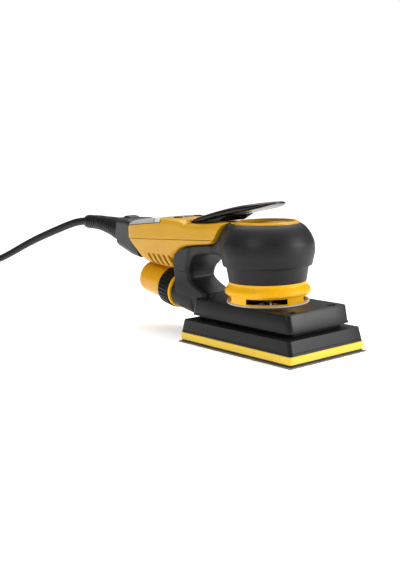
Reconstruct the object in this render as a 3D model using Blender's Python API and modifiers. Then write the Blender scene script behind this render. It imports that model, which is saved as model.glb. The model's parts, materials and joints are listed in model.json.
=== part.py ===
"""Electric orbital sander with a rectangular pad.

Frame: origin at the centre of the sanding face under the motor axis, +X to the front of the pad, +Z up.
Sizes are in millimetres; solid() turns them into metres. Heights of the head and tail count from the
deck, which is the top of the fixed shroud.
"""

import math

import bmesh
import bpy
from mathutils import Matrix, Vector

MM = 0.001
GAP = 0.3  # between touching pieces
RUN = 0.1  # radial clearance of a running fit
STEPS = 32  # sides of a turned piece
FEW = 20  # sides of a small or hidden turned piece
WALL = 2.5  # moulded wall

# Sanding pad
PAD_L, PAD_W = 133.0, 81.0
NET_T, NET_OVER = 0.8, 1.6
HOOK_T = 1.1
FOAM_T = 5.8
BASE_H, BASE_IN_X, BASE_IN_Y = 10.8, 3.2, 1.2
DUST_HOLES = [(x, y) for x in (-24.0, 24.0) for y in (-20.0, 0.0, 20.0)]
DUST_R = 4.0
SCREW_IN = (18.0, 18.5)
PILLAR_IN, PILLAR_R = (30.5, 23.5), 5.5

# Fixed shroud over the pad
LIFT = 3.6  # from the top of the pad to the underside of the shroud
SHROUD_H = 14.0
SHROUD_IN = (7.4, 7.0)
SHROUD_TOP_IN = (10.5, 7.5)
LIP_IN, LIP_T = 12.0, 1.5
FOOT_GAP = 1.1  # from the rear of the shroud to the foot of the duct column

# Crank
ORBIT_R = 1.5
REST_ANGLE = math.radians(-38.35)
CRANK_R = 6.0
BEARING_R, BEARING_H = 13.0, 6.5
SHAFT_R = 4.0
FAN_BLADES = 12

# Dust port
PORT_TILT = math.radians(9.46)
PORT_X, PORT_TOP = -112.6, 12.25
TUBE_R, TUBE_WALL, TUBE_L = 15.0, 2.2, 46.8
COLLAR_FIT, COLLAR_WALL, COLLAR_L = 0.4, 2.5, 14.0
PORT_RING_OUT, PORT_RING_L = 1.9, 2.6

# Cable
CORD_D = 8.0
COIL_X, COIL_Y = -609.0, -30.0
COIL_OUT, COIL_IN, COIL_H = 65.5, 31.0, 25.2
PLUG_R, PLUG_L = 12.0, 40.0
PIN_R, PIN_L = 2.4, 19.0

# Lever and keys
LEVER_PIN_X, LEVER_PIN_Z, LEVER_PIN_R = -75.0, 63.3, 1.0
SPRING_X, SPRING_R, SPRING_WIRE = -47.4, 2.2, 0.5
KEY_R, KEY_X, KEY_Y = 4.0, -103.0, 11.0

# Levels that follow from the sizes above
HOOK_Z = NET_T + GAP
FOAM_Z = HOOK_Z + HOOK_T + GAP
BASE_Z = FOAM_Z + FOAM_T + GAP
BASE_TOP = BASE_Z + BASE_H
SHROUD_Z = BASE_TOP + LIFT
DECK = SHROUD_Z + SHROUD_H
CRANK = (ORBIT_R * math.cos(REST_ANGLE), ORBIT_R * math.sin(REST_ANGLE))
SCREW_X, SCREW_Y = PAD_L / 2 - SCREW_IN[0], PAD_W / 2 - SCREW_IN[1]
PILLAR_X, PILLAR_Y = PAD_L / 2 - PILLAR_IN[0], PAD_W / 2 - PILLAR_IN[1]
FOOT = SHROUD_IN[0] - PAD_L / 2 - FOOT_GAP
TUBE_BORE = TUBE_R - TUBE_WALL
PORT_Z = PORT_TOP - TUBE_R
STUB_R = TUBE_R + COLLAR_FIT

LEAN = 0.0125  # how fast the sides of the tail draw in below its seam, per mm

# Turned profiles as (radius, height over the deck), outer side from top to bottom
GRIP_OUT = [(26.4, 64.0), (29.9, 62.0), (33.0, 58.7), (36.2, 53.5), (38.3, 47.3), (38.6, 42.0),
            (37.6, 36.0), (36.4, 32.0), (36.2, 30.2), (33.6, 29.8), (32.4, 24.7), (31.6, 17.8)]
GRIP_IN = [(28.8, 17.8), (30.2, 28.5), (33.4, 34.0), (34.8, 42.0), (32.6, 52.5), (26.4, 60.4)]
VENT = [(31.6, 17.5), (31.8, 15.5), (33.6, 13.0), (34.9, 10.5), (34.9, 8.2), (33.0, 7.5), (33.0, 2.5),
        (30.2, 2.5), (30.2, 10.5), (28.8, 14.0), (28.6, 17.5)]

# Tail stations along X: (x, half width, lower height or None for the seam, upper height)
UPPER = [(-166.5, 21.5, 56.0), (-163.0, 24.0, 58.5), (-150.0, 25.3, 61.3), (-117.0, 25.8, 64.0),
         (-98.0, 25.5, 64.4), (-84.0, 25.3, 63.4), (-78.0, 25.2, 61.3), (-60.0, 25.0, 61.6),
         (-44.0, 24.8, 62.8), (-30.0, 24.4, 64.3), (-12.0, 20.0, 65.5)]
LOWER = [(-164.8, 22.6, 42.2), (-161.0, 24.0, 37.0), (-155.5, 24.8, 29.5), (-150.0, 25.1, 24.2),
         (-145.0, 25.3, 22.0), (-141.0, 25.4, 21.4), (-111.0, 25.5, 19.4), (-106.9, 25.4, 19.4),
         (-106.6, 25.4, 21.0), (-105.0, 25.4, 25.4), (-100.5, 25.4, 31.0), (-92.3, 25.3, 36.0),
         (-81.7, 25.1, 39.8), (-69.0, 25.0, 42.3), (-55.0, 24.9, 43.8), (-45.0, 24.8, 44.9)]
BRIDGE = [(-76.7, 24.8, 28.0, 40.9), (-71.5, 24.8, 32.4, 42.0), (-66.0, 24.7, 34.4, 43.2),
          (-60.0, 24.6, 35.6, 43.7), (-53.0, 24.5, 36.3, 44.0), (-46.0, 24.4, 36.2, 44.1),
          (-39.0, 24.4, 35.3, 44.1), (-28.0, 24.2, 30.0, 44.1)]
# Column stations along Z: (height, rear x, front x, half width before the lean)
COLUMN = [(-17.0, -104.0, FOOT - 10.3, 10.0), (-13.0, -107.0, FOOT - 1.8, 13.0),
          (-8.0, -108.5, FOOT - 0.4, 14.5), (0.0, -109.0, FOOT - 2.0, 15.4),
          (3.0, -109.2, FOOT - 9.0, 15.4), (8.0, -109.3, -79.0, 15.3),
          (13.0, -109.2, -84.3, 15.3), (18.0, -108.4, -83.5, 16.8), (22.0, -107.0, -81.7, 18.1),
          (28.4, -103.0, -77.0, 20.1), (33.0, -98.0, -77.0, 21.5), (36.2, -94.0, -77.0, 22.5),
          (40.5, -84.0, -77.0, 23.8)]
LEVER = [(-80.0, 14.0, 62.0, 63.6), (-75.0, 18.4, 62.0, 64.8), (-65.0, 20.5, 63.4, 67.6),
         (-41.5, 20.5, 68.6, 73.2), (-17.5, 19.0, 73.0, 78.0), (-4.0, 17.0, 74.8, 79.3),
         (5.0, 13.5, 76.4, 79.9), (11.0, 8.5, 77.4, 79.6), (14.0, 3.5, 78.0, 79.2)]
CABLE_PLUG = [(-157.0, 19.6, 25.0, 56.5), (-167.2, 19.0, 26.0, 58.0), (-182.0, 16.8, 28.8, 60.0),
              (-200.0, 13.6, 32.4, 59.8), (-212.0, 11.6, 35.5, 59.2), (-217.2, 10.8, 37.2, 58.8)]
# Boot stations: (x, height of the centre, thickness of the rubber over the lead)
BOOT = [(-218.0, 48.0, 6.6), (-224.0, 49.2, 5.8), (-233.0, 50.3, 4.8), (-243.0, 51.3, 3.9),
        (-252.0, 52.1, 3.4), (-264.0, 52.2, 3.0), (-273.5, 52.1, 3.0), (-275.1, 52.0, 2.0)]
PANEL = [(-158.0, 59.6), (-150.0, 61.3), (-117.0, 64.0), (-112.0, 64.1)]

MATERIALS = {
    "amber": ((0.81, 0.43, 0.03), 0.42, 0.0), "yellow": ((0.95, 0.55, 0.01), 0.4, 0.0),
    "foam": ((0.88, 0.62, 0.08), 0.9, 0.0), "grip": ((0.028, 0.029, 0.031), 0.6, 0.0),
    "black": ((0.014, 0.014, 0.016), 0.35, 0.0), "rubber": ((0.02, 0.02, 0.021), 0.7, 0.0),
    "grey": ((0.17, 0.175, 0.18), 0.4, 0.0), "pale": ((0.6, 0.6, 0.58), 0.5, 0.0),
    "hook": ((0.02, 0.02, 0.02), 0.95, 0.0), "net": ((0.2, 0.17, 0.15), 0.95, 0.0),
    "steel": ((0.55, 0.56, 0.57), 0.3, 1.0), "alloy": ((0.66, 0.67, 0.68), 0.35, 1.0),
    "copper": ((0.6, 0.28, 0.14), 0.4, 1.0), "board": ((0.02, 0.14, 0.06), 0.5, 0.0),
    "chrome": ((0.75, 0.76, 0.77), 0.12, 1.0), "lens": ((0.25, 0.6, 0.3), 0.2, 0.0),
}


def clear_scene():
    """Empty the scene and make the two collections."""
    for obj in list(bpy.data.objects):
        bpy.data.objects.remove(obj, do_unlink=True)
    made = []
    for name in ("orbital_sander", "cutters"):
        made.append(bpy.data.collections.new(name))
        bpy.context.scene.collection.children.link(made[-1])
    return made


def material(name):
    """The named material, made on first use."""
    if name in bpy.data.materials:
        return bpy.data.materials[name]
    colour, rough, metal = MATERIALS[name]
    mat = bpy.data.materials.new(name)
    mat.use_nodes = True
    shader = mat.node_tree.nodes["Principled BSDF"]
    shader.inputs["Base Color"].default_value = (*colour, 1.0)
    shader.inputs["Roughness"].default_value = rough
    shader.inputs["Metallic"].default_value = metal
    return mat


def solid(name, points, faces, look=None, origin=(0, 0, 0), turn=None, edges=()):
    """One object from points in mm, its faces outwards. A piece without a look is a cutter."""
    points = [Vector(p) * MM for p in points]
    inside = sum(points[f[0]].dot(points[f[k]].cross(points[f[k + 1]]))
                 for f in faces for k in range(1, len(f) - 1))
    mesh = bpy.data.meshes.new(name)
    mesh.from_pydata(points, edges, faces if inside > 0 else [tuple(reversed(f)) for f in faces])
    mesh.update()
    obj = bpy.data.objects.new(name, mesh)
    obj.location = Vector(origin) * MM
    if turn is not None:
        obj.rotation_euler = turn
    if look:
        PART.objects.link(obj)
        mesh.materials.append(material(look))
    else:
        CUTTERS.objects.link(obj)
        obj.hide_render = True
        obj.display_type = "WIRE"
    return obj


def loft(name, rings, look=None, **place):
    """A closed solid through rings with the same number of points, with flat ends."""
    n = len(rings[0])
    points = [p for ring in rings for p in ring]
    faces = [tuple(range(n))[::-1], tuple(range(len(points) - n, len(points)))]
    for k in range(len(rings) - 1):
        for i in range(n):
            j = (i + 1) % n
            faces.append((k * n + i, k * n + j, (k + 1) * n + j, (k + 1) * n + i))
    return solid(name, points, faces, look, **place)


def turned(name, profile, look=None, steps=STEPS, **place):
    """A profile of (radius, height), down its outer side, turned about Z by a Screw modifier."""
    closed = profile[0][0] > 0
    n = len(profile)
    edges = [(i, i + 1) for i in range(n - 1)] + ([(n - 1, 0)] if closed else [])
    obj = solid(name, [(r, 0, z) for r, z in profile], [], look, edges=edges, **place)
    screw = obj.modifiers.new("turn", "SCREW")
    screw.steps = screw.render_steps = steps
    screw.use_merge_vertices, screw.merge_threshold = True, 0.00001
    return obj


def rod(name, radius, low, high, look=None, bore=0.0, steps=STEPS, **place):
    """A cylinder between two heights, or a tube when it has a bore."""
    if bore:
        return turned(name, [(radius, high), (radius, low), (bore, low), (bore, high)], look, steps, **place)
    obj = solid(name, [], [], look, **place)
    shape = bmesh.new()
    bmesh.ops.create_cone(shape, cap_ends=True, segments=steps, radius1=radius * MM, radius2=radius * MM,
                          depth=(high - low) * MM, matrix=Matrix.Translation((0, 0, (high + low) / 2 * MM)))
    shape.to_mesh(obj.data)
    shape.free()
    return obj


def block(name, low, high, look=None, **place):
    """A plain box between two corners."""
    obj = solid(name, [], [], look, **place)
    shape = bmesh.new()
    bmesh.ops.create_cube(shape, size=MM)
    bmesh.ops.scale(shape, vec=Vector(high) - Vector(low), verts=shape.verts)
    bmesh.ops.translate(shape, vec=(Vector(high) + Vector(low)) / 2 * MM, verts=shape.verts)
    shape.to_mesh(obj.data)
    shape.free()
    return obj


def corners(half_a, half_b, radii, n=3):
    """A rectangle with four rounded corners, anticlockwise from the corner (+a, -b)."""
    out = []
    for k, (sa, sb) in enumerate(((1, -1), (1, 1), (-1, 1), (-1, -1))):
        r = min(radii[k], half_a * 0.95, half_b * 0.95)
        for i in range(n + 1):
            t = math.radians(-90 + 90 * k + 90 * i / n)
            out.append((sa * (half_a - r) + r * math.cos(t), sb * (half_b - r) + r * math.sin(t)))
    return out


def section(x, half, low, high, r_low, r_high):
    """A rounded section across X, between two heights."""
    ring = corners(half, (high - low) / 2, (r_low, r_high, r_high, r_low))
    return [(x, y, (high + low) / 2 + z) for y, z in ring]


def plan(z, half_x, half_y, radius, centre=(0.0, 0.0)):
    """A rounded rectangle at a height."""
    ring = corners(half_x, half_y, (radius,) * 4)
    return [(centre[0] + x, centre[1] + y, z) for x, y in ring]


def combine(target, others, operation="DIFFERENCE"):
    """Exact Booleans with each of the other objects, in order."""
    for k, other in enumerate(others):
        mod = target.modifiers.new(f"{operation.lower()}_{k}", "BOOLEAN")
        mod.operation, mod.solver, mod.object = operation, "EXACT", other
    return target


def tube(name, points, radius, look, resolution=3):
    """A round tube along a polyline, with closed ends."""
    curve = bpy.data.curves.new(name, "CURVE")
    curve.dimensions = "3D"
    curve.bevel_depth, curve.bevel_resolution = radius * MM, resolution
    curve.use_fill_caps = True
    spline = curve.splines.new("POLY")
    spline.points.add(len(points) - 1)
    for dot, p in zip(spline.points, points):
        dot.co = (*(Vector(p) * MM), 1.0)
    obj = bpy.data.objects.new(name, curve)
    curve.materials.append(material(look))
    PART.objects.link(obj)
    return obj


def seam(x):
    """Height over the deck of the joint between the two tail shells."""
    if x < -70.0:
        return 43.6 + (x + 162.0) * 4.0 / 92.0
    return 47.6 + (x + 70.0) * 1.2 / 26.0


def leaning(ring):
    """A section whose sides draw in below the seam."""
    return [(x, y * (1 - LEAN * max(0.0, DECK + seam(x) - z)), z) for x, y, z in ring]


def dome_cutter(name):
    """The space of the grip dome, with clearance, up to its top opening."""
    profile = [(r + GAP, DECK + z) for r, z in GRIP_OUT]
    return turned(name, [(0, DECK + 64.0)] + profile + [(0, DECK + 17.8)])


def pad():
    """The moving pad: net, hook layer, foam, base, its screws and the rubber pillars."""
    low, high = PAD_L / 2, PAD_W / 2
    at = {"origin": (*CRANK, 0.0)}
    net = (low + NET_OVER, high + NET_OVER)
    loft("abrasive_sheet", [plan(0, *net, 3), plan(NET_T, *net, 3)], "net", **at)
    hook = loft("hook_sheet", [plan(HOOK_Z, low, high, 3), plan(HOOK_Z + HOOK_T, low, high, 3)], "hook", **at)
    foam = loft("foam_pad", [plan(FOAM_Z, low, high, 3), plan(FOAM_Z + FOAM_T, low, high, 3)], "foam", **at)
    base = loft("pad_base", [plan(BASE_Z, low, high, 3),
                             plan(BASE_TOP, low - BASE_IN_X, high - BASE_IN_Y, 3)], "black", **at)
    holes = [rod(f"cut_dust_{k}", DUST_R, -1, BASE_TOP + 1, steps=10, origin=(x + CRANK[0], y + CRANK[1], 0))
             for k, (x, y) in enumerate(DUST_HOLES)]
    for piece in (hook, foam, base):
        combine(piece, holes)
    floor = BASE_TOP - BEARING_H - GAP
    combine(base, [rod("cut_seat", BEARING_R + GAP, floor, BASE_TOP + 1, **at)])
    rod("pad_bearing", BEARING_R, floor + GAP, BASE_TOP, "steel", CRANK_R + RUN, FEW, **at)
    spots = [(sx, sy) for sx in (-1, 1) for sy in (-1, 1)]
    for k, (sx, sy) in enumerate(spots, 1):
        spot = (sx * SCREW_X + CRANK[0], sy * SCREW_Y + CRANK[1], 0)
        sink = [(0, BASE_TOP + 1), (3.6, BASE_TOP + 1), (3.6, BASE_TOP - 3.1), (1.9, BASE_TOP - 3.1),
                (1.9, BASE_Z + 3), (0, BASE_Z + 3)]
        combine(base, [turned(f"cut_screw_{k}", sink, steps=12, origin=spot)])
        turned(f"pad_screw_{k}", [(0, BASE_TOP - 0.4), (3.2, BASE_TOP - 0.4), (3.2, BASE_TOP - 2.8),
                                  (1.6, BASE_TOP - 2.8), (1.6, BASE_Z + 3.3), (0, BASE_Z + 3.3)],
               "steel", steps=10, origin=spot)
        foot, head = BASE_TOP + GAP, DECK - 3.5
        turned(f"rubber_pillar_{k}", [(0, head), (PILLAR_R, head), (PILLAR_R, head - 3), (4, head - 5),
                                      (4, foot + 5), (PILLAR_R, foot + 3), (PILLAR_R, foot), (0, foot)],
               "rubber", steps=12, origin=(sx * PILLAR_X + CRANK[0], sy * PILLAR_Y + CRANK[1], 0))


def shroud():
    """The fixed cover over the pad and its flexible lip."""
    low = (PAD_L / 2 - SHROUD_IN[0], PAD_W / 2 - SHROUD_IN[1])
    top = (PAD_L / 2 - SHROUD_TOP_IN[0], PAD_W / 2 - SHROUD_TOP_IN[1])
    body = loft("shroud", [plan(SHROUD_Z, *low, 5), plan(DECK, *top, 5)], "black")
    inner = loft("cut_shroud", [plan(SHROUD_Z - 1, low[0] - WALL, low[1] - WALL, 4),
                                plan(DECK - 3, top[0] - WALL, top[1] - WALL, 4)])
    holes = [rod(f"cut_access_{k}", 3.4, DECK - 5, DECK + 2, steps=16, origin=(sx * SCREW_X, sy * SCREW_Y, 0))
             for k, (sx, sy) in enumerate(((-1, -1), (-1, 1), (1, -1), (1, 1)))]
    duct = block("cut_duct", (-PAD_L / 2, -9, SHROUD_Z + 2), (-PAD_L / 2 + 16, 9, DECK - 4))
    combine(body, [inner, rod("cut_centre", 22, DECK - 5, DECK + 2), duct] + holes)
    half = (PAD_L / 2 - LIP_IN, PAD_W / 2 - LIP_IN + GAP)
    lip = loft("shroud_seal", [plan(BASE_TOP + GAP, *half, 4), plan(SHROUD_Z - GAP, *half, 4)], "rubber")
    combine(lip, [loft("cut_lip", [plan(z, half[0] - LIP_T, half[1] - LIP_T, 3)
                                   for z in (BASE_TOP - 1, SHROUD_Z + 1)])])


def head():
    """The fixed pieces round the motor."""
    rod("gasket_ring", 34.2, DECK + GAP, DECK + 2.2, "pale", 29.0)
    ring = turned("vent_ring", [(r, DECK + z) for r, z in VENT], "yellow")
    combine(ring, [block(f"cut_window_{k}", (-45, -16.2, DECK + 1.5), (45, 16.2, DECK + 6.6),
                         turn=(0, 0, math.radians(angle))) for k, angle in enumerate((45, 135))])
    turned("grip_shell", [(r, DECK + z) for r, z in GRIP_OUT + GRIP_IN], "grip")
    turned("motor_carrier", [(28.2, DECK + 17.2), (28.2, DECK + 15.2), (9.8, DECK + 13.2), (9.8, DECK + 19.8),
                             (12, DECK + 19.8), (13, DECK + 17.2)], "alloy", FEW)
    rod("lower_bearing", 9.5, DECK + 13.6, DECK + 19.6, "steel", SHAFT_R + RUN, FEW)
    turned("motor_can", [(12, DECK + 55), (26.5, DECK + 52), (28.2, DECK + 49), (28.2, DECK + 20.5),
                         (26.6, DECK + 20.5), (26.6, DECK + 48.4), (25.6, DECK + 50.2), (13, DECK + 52.4),
                         (9.8, DECK + 52.4), (9.8, DECK + 55)], "alloy", FEW)
    rod("stator", 25.9, DECK + 24, DECK + 46, "copper", 17.0, FEW)
    rod("upper_bearing", 9.5, DECK + 49.6, DECK + 54.8, "steel", SHAFT_R + RUN, FEW)


def rotor():
    """The pieces that turn with the spindle."""
    turned("motor_shaft", [(0, DECK + 56.5), (SHAFT_R, DECK + 56.5), (SHAFT_R, DECK - 2.7), (0, DECK - 2.7)],
           "steel", FEW)
    rod("rotor_core", 16.4, DECK + 24.5, DECK + 45.5, "steel", SHAFT_R + GAP, FEW)
    star = []
    for k in range(FAN_BLADES):
        for part, r in ((0.0, 13.0), (0.3, 13.0), (0.42, 26.0), (0.58, 26.0)):
            a = 2 * math.pi * (k + part) / FAN_BLADES
            star.append((r * math.cos(a), r * math.sin(a)))
    fan = loft("fan", [[(x, y, z) for x, y in star] for z in (DECK + 3.5, DECK + 12.5)], "grey")
    combine(fan, [rod("cut_fan", SHAFT_R + GAP, DECK, DECK + 20, steps=20)])
    weight = turned("eccentric_weight", [(0, DECK - 3), (9, DECK - 3), (9, SHROUD_Z + 1), (0, SHROUD_Z + 1)],
                    "steel", FEW)
    angle = REST_ANGLE + math.pi
    arc = [(18 * math.cos(angle + math.radians(t)), 18 * math.sin(angle + math.radians(t)))
           for t in range(-90, 91, 15)]
    half = loft("join_weight", [[(x, y, z) for x, y in arc] for z in (DECK - 11, DECK - 5)])
    pin = rod("join_pin", CRANK_R, BASE_TOP - BEARING_H + 1, SHROUD_Z + 3, steps=FEW, origin=(*CRANK, 0))
    combine(weight, [half, pin], "UNION")


def tail():
    """The two amber shells, the inlay and what the tail holds."""
    upper = loft("upper_shell", [section(x, half, DECK + seam(x) + GAP / 2, DECK + high, 0.8, 4.5)
                                 for x, half, high in UPPER], "amber")
    cap = turned("join_cap", [(0, DECK + 65.7), (24.0, DECK + 65.7), (25.6, DECK + 65.1), (26.1, DECK + 63.9),
                              (26.1, DECK + 60.2), (24.0, DECK + 58.6), (0, DECK + 58.6)])
    dish = turned("cut_dish", [(0, DECK + 70), (23.2, DECK + 70), (23.0, DECK + 65.2), (21.0, DECK + 62.8),
                               (14.0, DECK + 61.6), (0, DECK + 61.2)])
    hollow = loft("cut_upper", [section(x, half - WALL, DECK + seam(x) - 2, DECK + high - WALL, 0.8, 3)
                                for x, half, high in UPPER[1:-2]])
    combine(upper, [dome_cutter("cut_dome_upper")])
    combine(upper, [cap], "UNION")
    well = block("cut_well", (-68.5, -16.5, DECK + 55), (-31.5, 16.5, DECK + 70))
    inlay = loft("cut_inlay", [section(x, 19.3, DECK + high - 1.2, DECK + high + 3, 0.5, 0.5)
                               for x, high in [(PANEL[0][0] - GAP, PANEL[0][1])] + PANEL[1:-1]
                               + [(PANEL[-1][0] + GAP, PANEL[-1][1])]])
    keys = [rod(f"cut_key_{k}", KEY_R + 0.4, DECK + 55, DECK + 70, steps=24, origin=(KEY_X, y, 0))
            for k, y in enumerate((-KEY_Y, 0, KEY_Y))]
    lens = rod("cut_lens", 1.9, DECK + 55, DECK + 70, steps=12, origin=(-93, 0, 0))
    combine(upper, [dish, hollow, well, inlay, lens] + keys)
    lower = loft("lower_shell", [leaning(section(x, half, DECK + low, DECK + seam(x) - GAP / 2, 7, 0.8))
                                 for x, half, low in LOWER], "amber")
    inner = loft("cut_lower", [leaning(section(x, half - WALL, DECK + low + WALL, DECK + seam(x) + 2, 5, 0.8))
                               for x, half, low in LOWER[1:7] + [(LOWER[7][0] - WALL,) + LOWER[7][1:]]])
    slots = []
    for k in range(5):
        x = -136.5 + 7.55 * k
        ring = [(x - 3.0, 31.0), (x + 0.2, 31.0), (x + 5.0, 21.9), (x + 1.8, 21.9)]
        slots.append(loft(f"cut_slot_{k}", [[(a, y, DECK + z) for a, z in ring] for y in (-30, 30)]))
    combine(lower, [inner] + slots)
    loft("display_panel", [section(x, 19, DECK + high - 0.9, DECK + high + 0.2, 0.3, 0.3)
                           for x, high in PANEL], "grey")
    for name, y, look in (("minus_button", -KEY_Y, "black"), ("power_button", 0, "grey"),
                          ("plus_button", KEY_Y, "black")):
        rod(name, KEY_R, DECK + 60, DECK + 65.3, look, steps=24, origin=(KEY_X, y, 0))
    rod("led_lens", 1.6, DECK + 61.5, DECK + 64.5, "lens", steps=12, origin=(-93, 0, 0))
    block("control_board", (-148, -17.5, DECK + 34), (-112, 17.5, DECK + 35.6), "board")
    block("cable_socket", (-160, -11, DECK + 47.5), (-148, 11, DECK + 56), "black")


def loop():
    """The finger bridge and the column that carries the dust to the port."""
    bridge = loft("finger_bridge", [leaning(section(x, half, DECK + low, DECK + high, 3, 1))
                                    for x, half, low, high in BRIDGE], "grip")
    under = loft("cut_under", [section(x, half + 2, DECK + low - GAP, DECK + 60, 0.5, 0.8)
                               for x, half, low in LOWER[3:]])
    combine(bridge, [dome_cutter("cut_dome_bridge"), under])
    column = loft("duct_column", [plan(DECK + z, (front - rear) / 2, half, 6, ((front + rear) / 2, 0))
                                  for z, rear, front, half in COLUMN], "grip")
    at = {"origin": (PORT_X, 0, DECK + PORT_Z), "turn": (0, PORT_TILT - math.pi / 2, 0)}
    outer = rod("join_port", STUB_R, -28, -GAP, **at)
    bore = rod("cut_bore", TUBE_BORE, -24, 1, **at)
    passage = block("cut_passage", (-95, -8.5, SHROUD_Z + 2.5), (FOOT + 10, 8.5, DECK - 4.5))
    combine(column, [outer], "UNION")
    combine(column, [bore, passage, under])
    rod("port_ring", TUBE_R + PORT_RING_OUT, 0, PORT_RING_L, "yellow", TUBE_BORE + 0.2, 24, **at)
    start = PORT_RING_L + GAP
    rod("lock_collar", STUB_R + COLLAR_WALL, start, start + COLLAR_L, "black", STUB_R, **at)
    rod("hose_tube", TUBE_R, start, start + TUBE_L, "amber", TUBE_BORE, **at)


def lever():
    """The paddle, its pin, the plunger under it and the return spring."""
    pin = (LEVER_PIN_X, 0, DECK + LEVER_PIN_Z)
    paddle = loft("lever", [[(x - pin[0], y, z - pin[2]) for x, y, z in
                             section(a, half, DECK + low, DECK + high, 0.6, 1.6)]
                            for a, half, low, high in LEVER], "black", origin=pin)
    across = {"origin": pin, "turn": (math.pi / 2, 0, 0)}
    combine(paddle, [rod("cut_pin", LEVER_PIN_R + RUN, -30, 30, steps=16, **across)])
    shaft = rod("lever_pin", LEVER_PIN_R, -21.8, 21.8, "steel", steps=16, **across)
    lugs = [block(f"join_lug_{k}", (pin[0] - 2.2, y, DECK + 62.0), (pin[0] + 2.2, y + 2.4, DECK + 64.8))
            for k, y in enumerate((-22.0, 19.6))]
    combine(shaft, lugs, "UNION")
    side = [(-66, 61.9), (-33, 64.6), (-33, 69.8), (-66, 62.8)]
    loft("lever_plunger", [[(x - pin[0], y, DECK + z - pin[2]) for x, z in side] for y in (-15, 15)], "black",
         origin=pin)
    foot, top = DECK + 50.0, DECK + 62.6
    turns, per = 6, 8
    tube("lever_spring", [(SPRING_X + SPRING_R * math.cos(2 * math.pi * k / per),
                           SPRING_R * math.sin(2 * math.pi * k / per),
                           foot + (top - foot) * k / (turns * per)) for k in range(turns * per + 1)],
         SPRING_WIRE, "steel", resolution=1)


def cable():
    """The cable end, its latch and boot, the lead, its coil and the mains plug."""
    body = loft("cable_plug", [section(x, half, DECK + low, DECK + high, 3, 4)
                               for x, half, low, high in CABLE_PLUG], "grey")
    rear = UPPER[0][0] - GAP
    slope = loft("cut_slope", [section(x - 2 * GAP, half + 1, DECK + low - GAP, DECK + 60, 7, 0.8)
                               for x, half, low in LOWER[:7]])
    combine(body, [block("cut_latch", (-200.4, -6.4, DECK + 56), (-187.0, 6.4, DECK + 64)), slope,
                   block("cut_rear", (rear, -30, DECK + seam(rear) - 2), (rear + 30, 30, DECK + 70))])
    block("plug_latch", (-200.0, -6.0, DECK + 58), (-187.4, 6.0, DECK + 61.8), "black")
    loft("cord_boot", [[(x, (CORD_D / 2 + thick) * math.cos(2 * math.pi * k / FEW),
                         DECK + z + (CORD_D / 2 + thick) * math.sin(2 * math.pi * k / FEW)) for k in range(FEW)]
                       for x, z, thick in BOOT], "rubber")
    lead = [(-275.4, 0, 89.0), (-281.0, 0, 89.0), (-295.0, 0, 87.6), (-315.0, 0, 83.6), (-335.5, 0, 78.4),
            (-365.0, 0, 70.6), (-395.8, 0, 62.0), (-425.0, 0, 53.0), (-455.0, 0, 43.2), (-480.0, 0, 35.4),
            (-495.0, 0, 31.2), (-509.0, 0, 27.8), (-525.7, 2.3, 24.5), (-542.3, 7.9, 22.5), (-550.7, 11.5, 21.8)]
    tube("cord", lead, CORD_D / 2, "rubber", resolution=2)
    turned("cord_coil", [(COIL_OUT - 5, COIL_H), (COIL_OUT, COIL_H - 6), (COIL_OUT, 5), (COIL_OUT - 5, 0),
                         (COIL_IN + 5, 0), (COIL_IN, 5), (COIL_IN, COIL_H - 6), (COIL_IN + 5, COIL_H)],
           "rubber", origin=(COIL_X, COIL_Y, 0))
    spot = (COIL_X, COIL_Y - (COIL_OUT + COIL_IN) / 2, COIL_H + PLUG_R + GAP)
    along = {"origin": spot, "turn": (0, math.pi / 2, 0)}
    neck = CORD_D / 2 + 1.5
    turned("mains_plug", [(0, PLUG_L), (PLUG_R, PLUG_L), (PLUG_R, PLUG_L - 14), (8, 10), (neck, 0), (0, 0)],
           "rubber", steps=24, **along)
    for k, y in enumerate((-8.5, 8.5), 1):
        rod(f"plug_pin_{k}", PIN_R, PLUG_L + GAP, PLUG_L + PIN_L, "chrome", steps=12,
            origin=(spot[0], spot[1] + y, spot[2]), turn=(0, math.pi / 2, 0))


PART, CUTTERS = clear_scene()
for make in (pad, shroud, head, rotor, tail, loop, lever, cable):
    make()
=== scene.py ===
"""Finished looks of an electric orbital sander with a rectangular pad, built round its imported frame."""

from __future__ import annotations

import json
import logging
import math
from dataclasses import dataclass, field
from enum import Enum
from typing import Callable, Optional, Sequence, Union

import bmesh
import bpy
from mathutils import Matrix, Vector

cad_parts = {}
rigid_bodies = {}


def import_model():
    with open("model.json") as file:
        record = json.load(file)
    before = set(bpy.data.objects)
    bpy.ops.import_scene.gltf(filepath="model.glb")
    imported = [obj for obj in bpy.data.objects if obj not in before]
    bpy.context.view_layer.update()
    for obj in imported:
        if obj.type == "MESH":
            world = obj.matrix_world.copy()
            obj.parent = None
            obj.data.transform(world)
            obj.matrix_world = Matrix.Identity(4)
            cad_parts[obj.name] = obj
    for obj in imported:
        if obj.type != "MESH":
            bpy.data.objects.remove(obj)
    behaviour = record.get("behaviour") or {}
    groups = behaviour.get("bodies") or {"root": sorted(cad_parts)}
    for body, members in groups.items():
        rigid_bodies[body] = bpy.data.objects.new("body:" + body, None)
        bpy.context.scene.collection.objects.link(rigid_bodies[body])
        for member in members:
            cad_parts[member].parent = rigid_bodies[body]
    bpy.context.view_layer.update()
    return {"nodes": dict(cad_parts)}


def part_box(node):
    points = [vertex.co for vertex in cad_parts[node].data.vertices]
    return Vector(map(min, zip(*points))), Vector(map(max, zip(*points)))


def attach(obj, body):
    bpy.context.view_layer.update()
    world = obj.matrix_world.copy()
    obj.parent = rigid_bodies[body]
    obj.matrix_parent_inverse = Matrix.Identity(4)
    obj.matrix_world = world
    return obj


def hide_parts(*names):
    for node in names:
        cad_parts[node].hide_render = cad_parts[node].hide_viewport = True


for leftover in list(bpy.data.objects):
    bpy.data.objects.remove(leftover, do_unlink=True)
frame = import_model()

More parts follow.
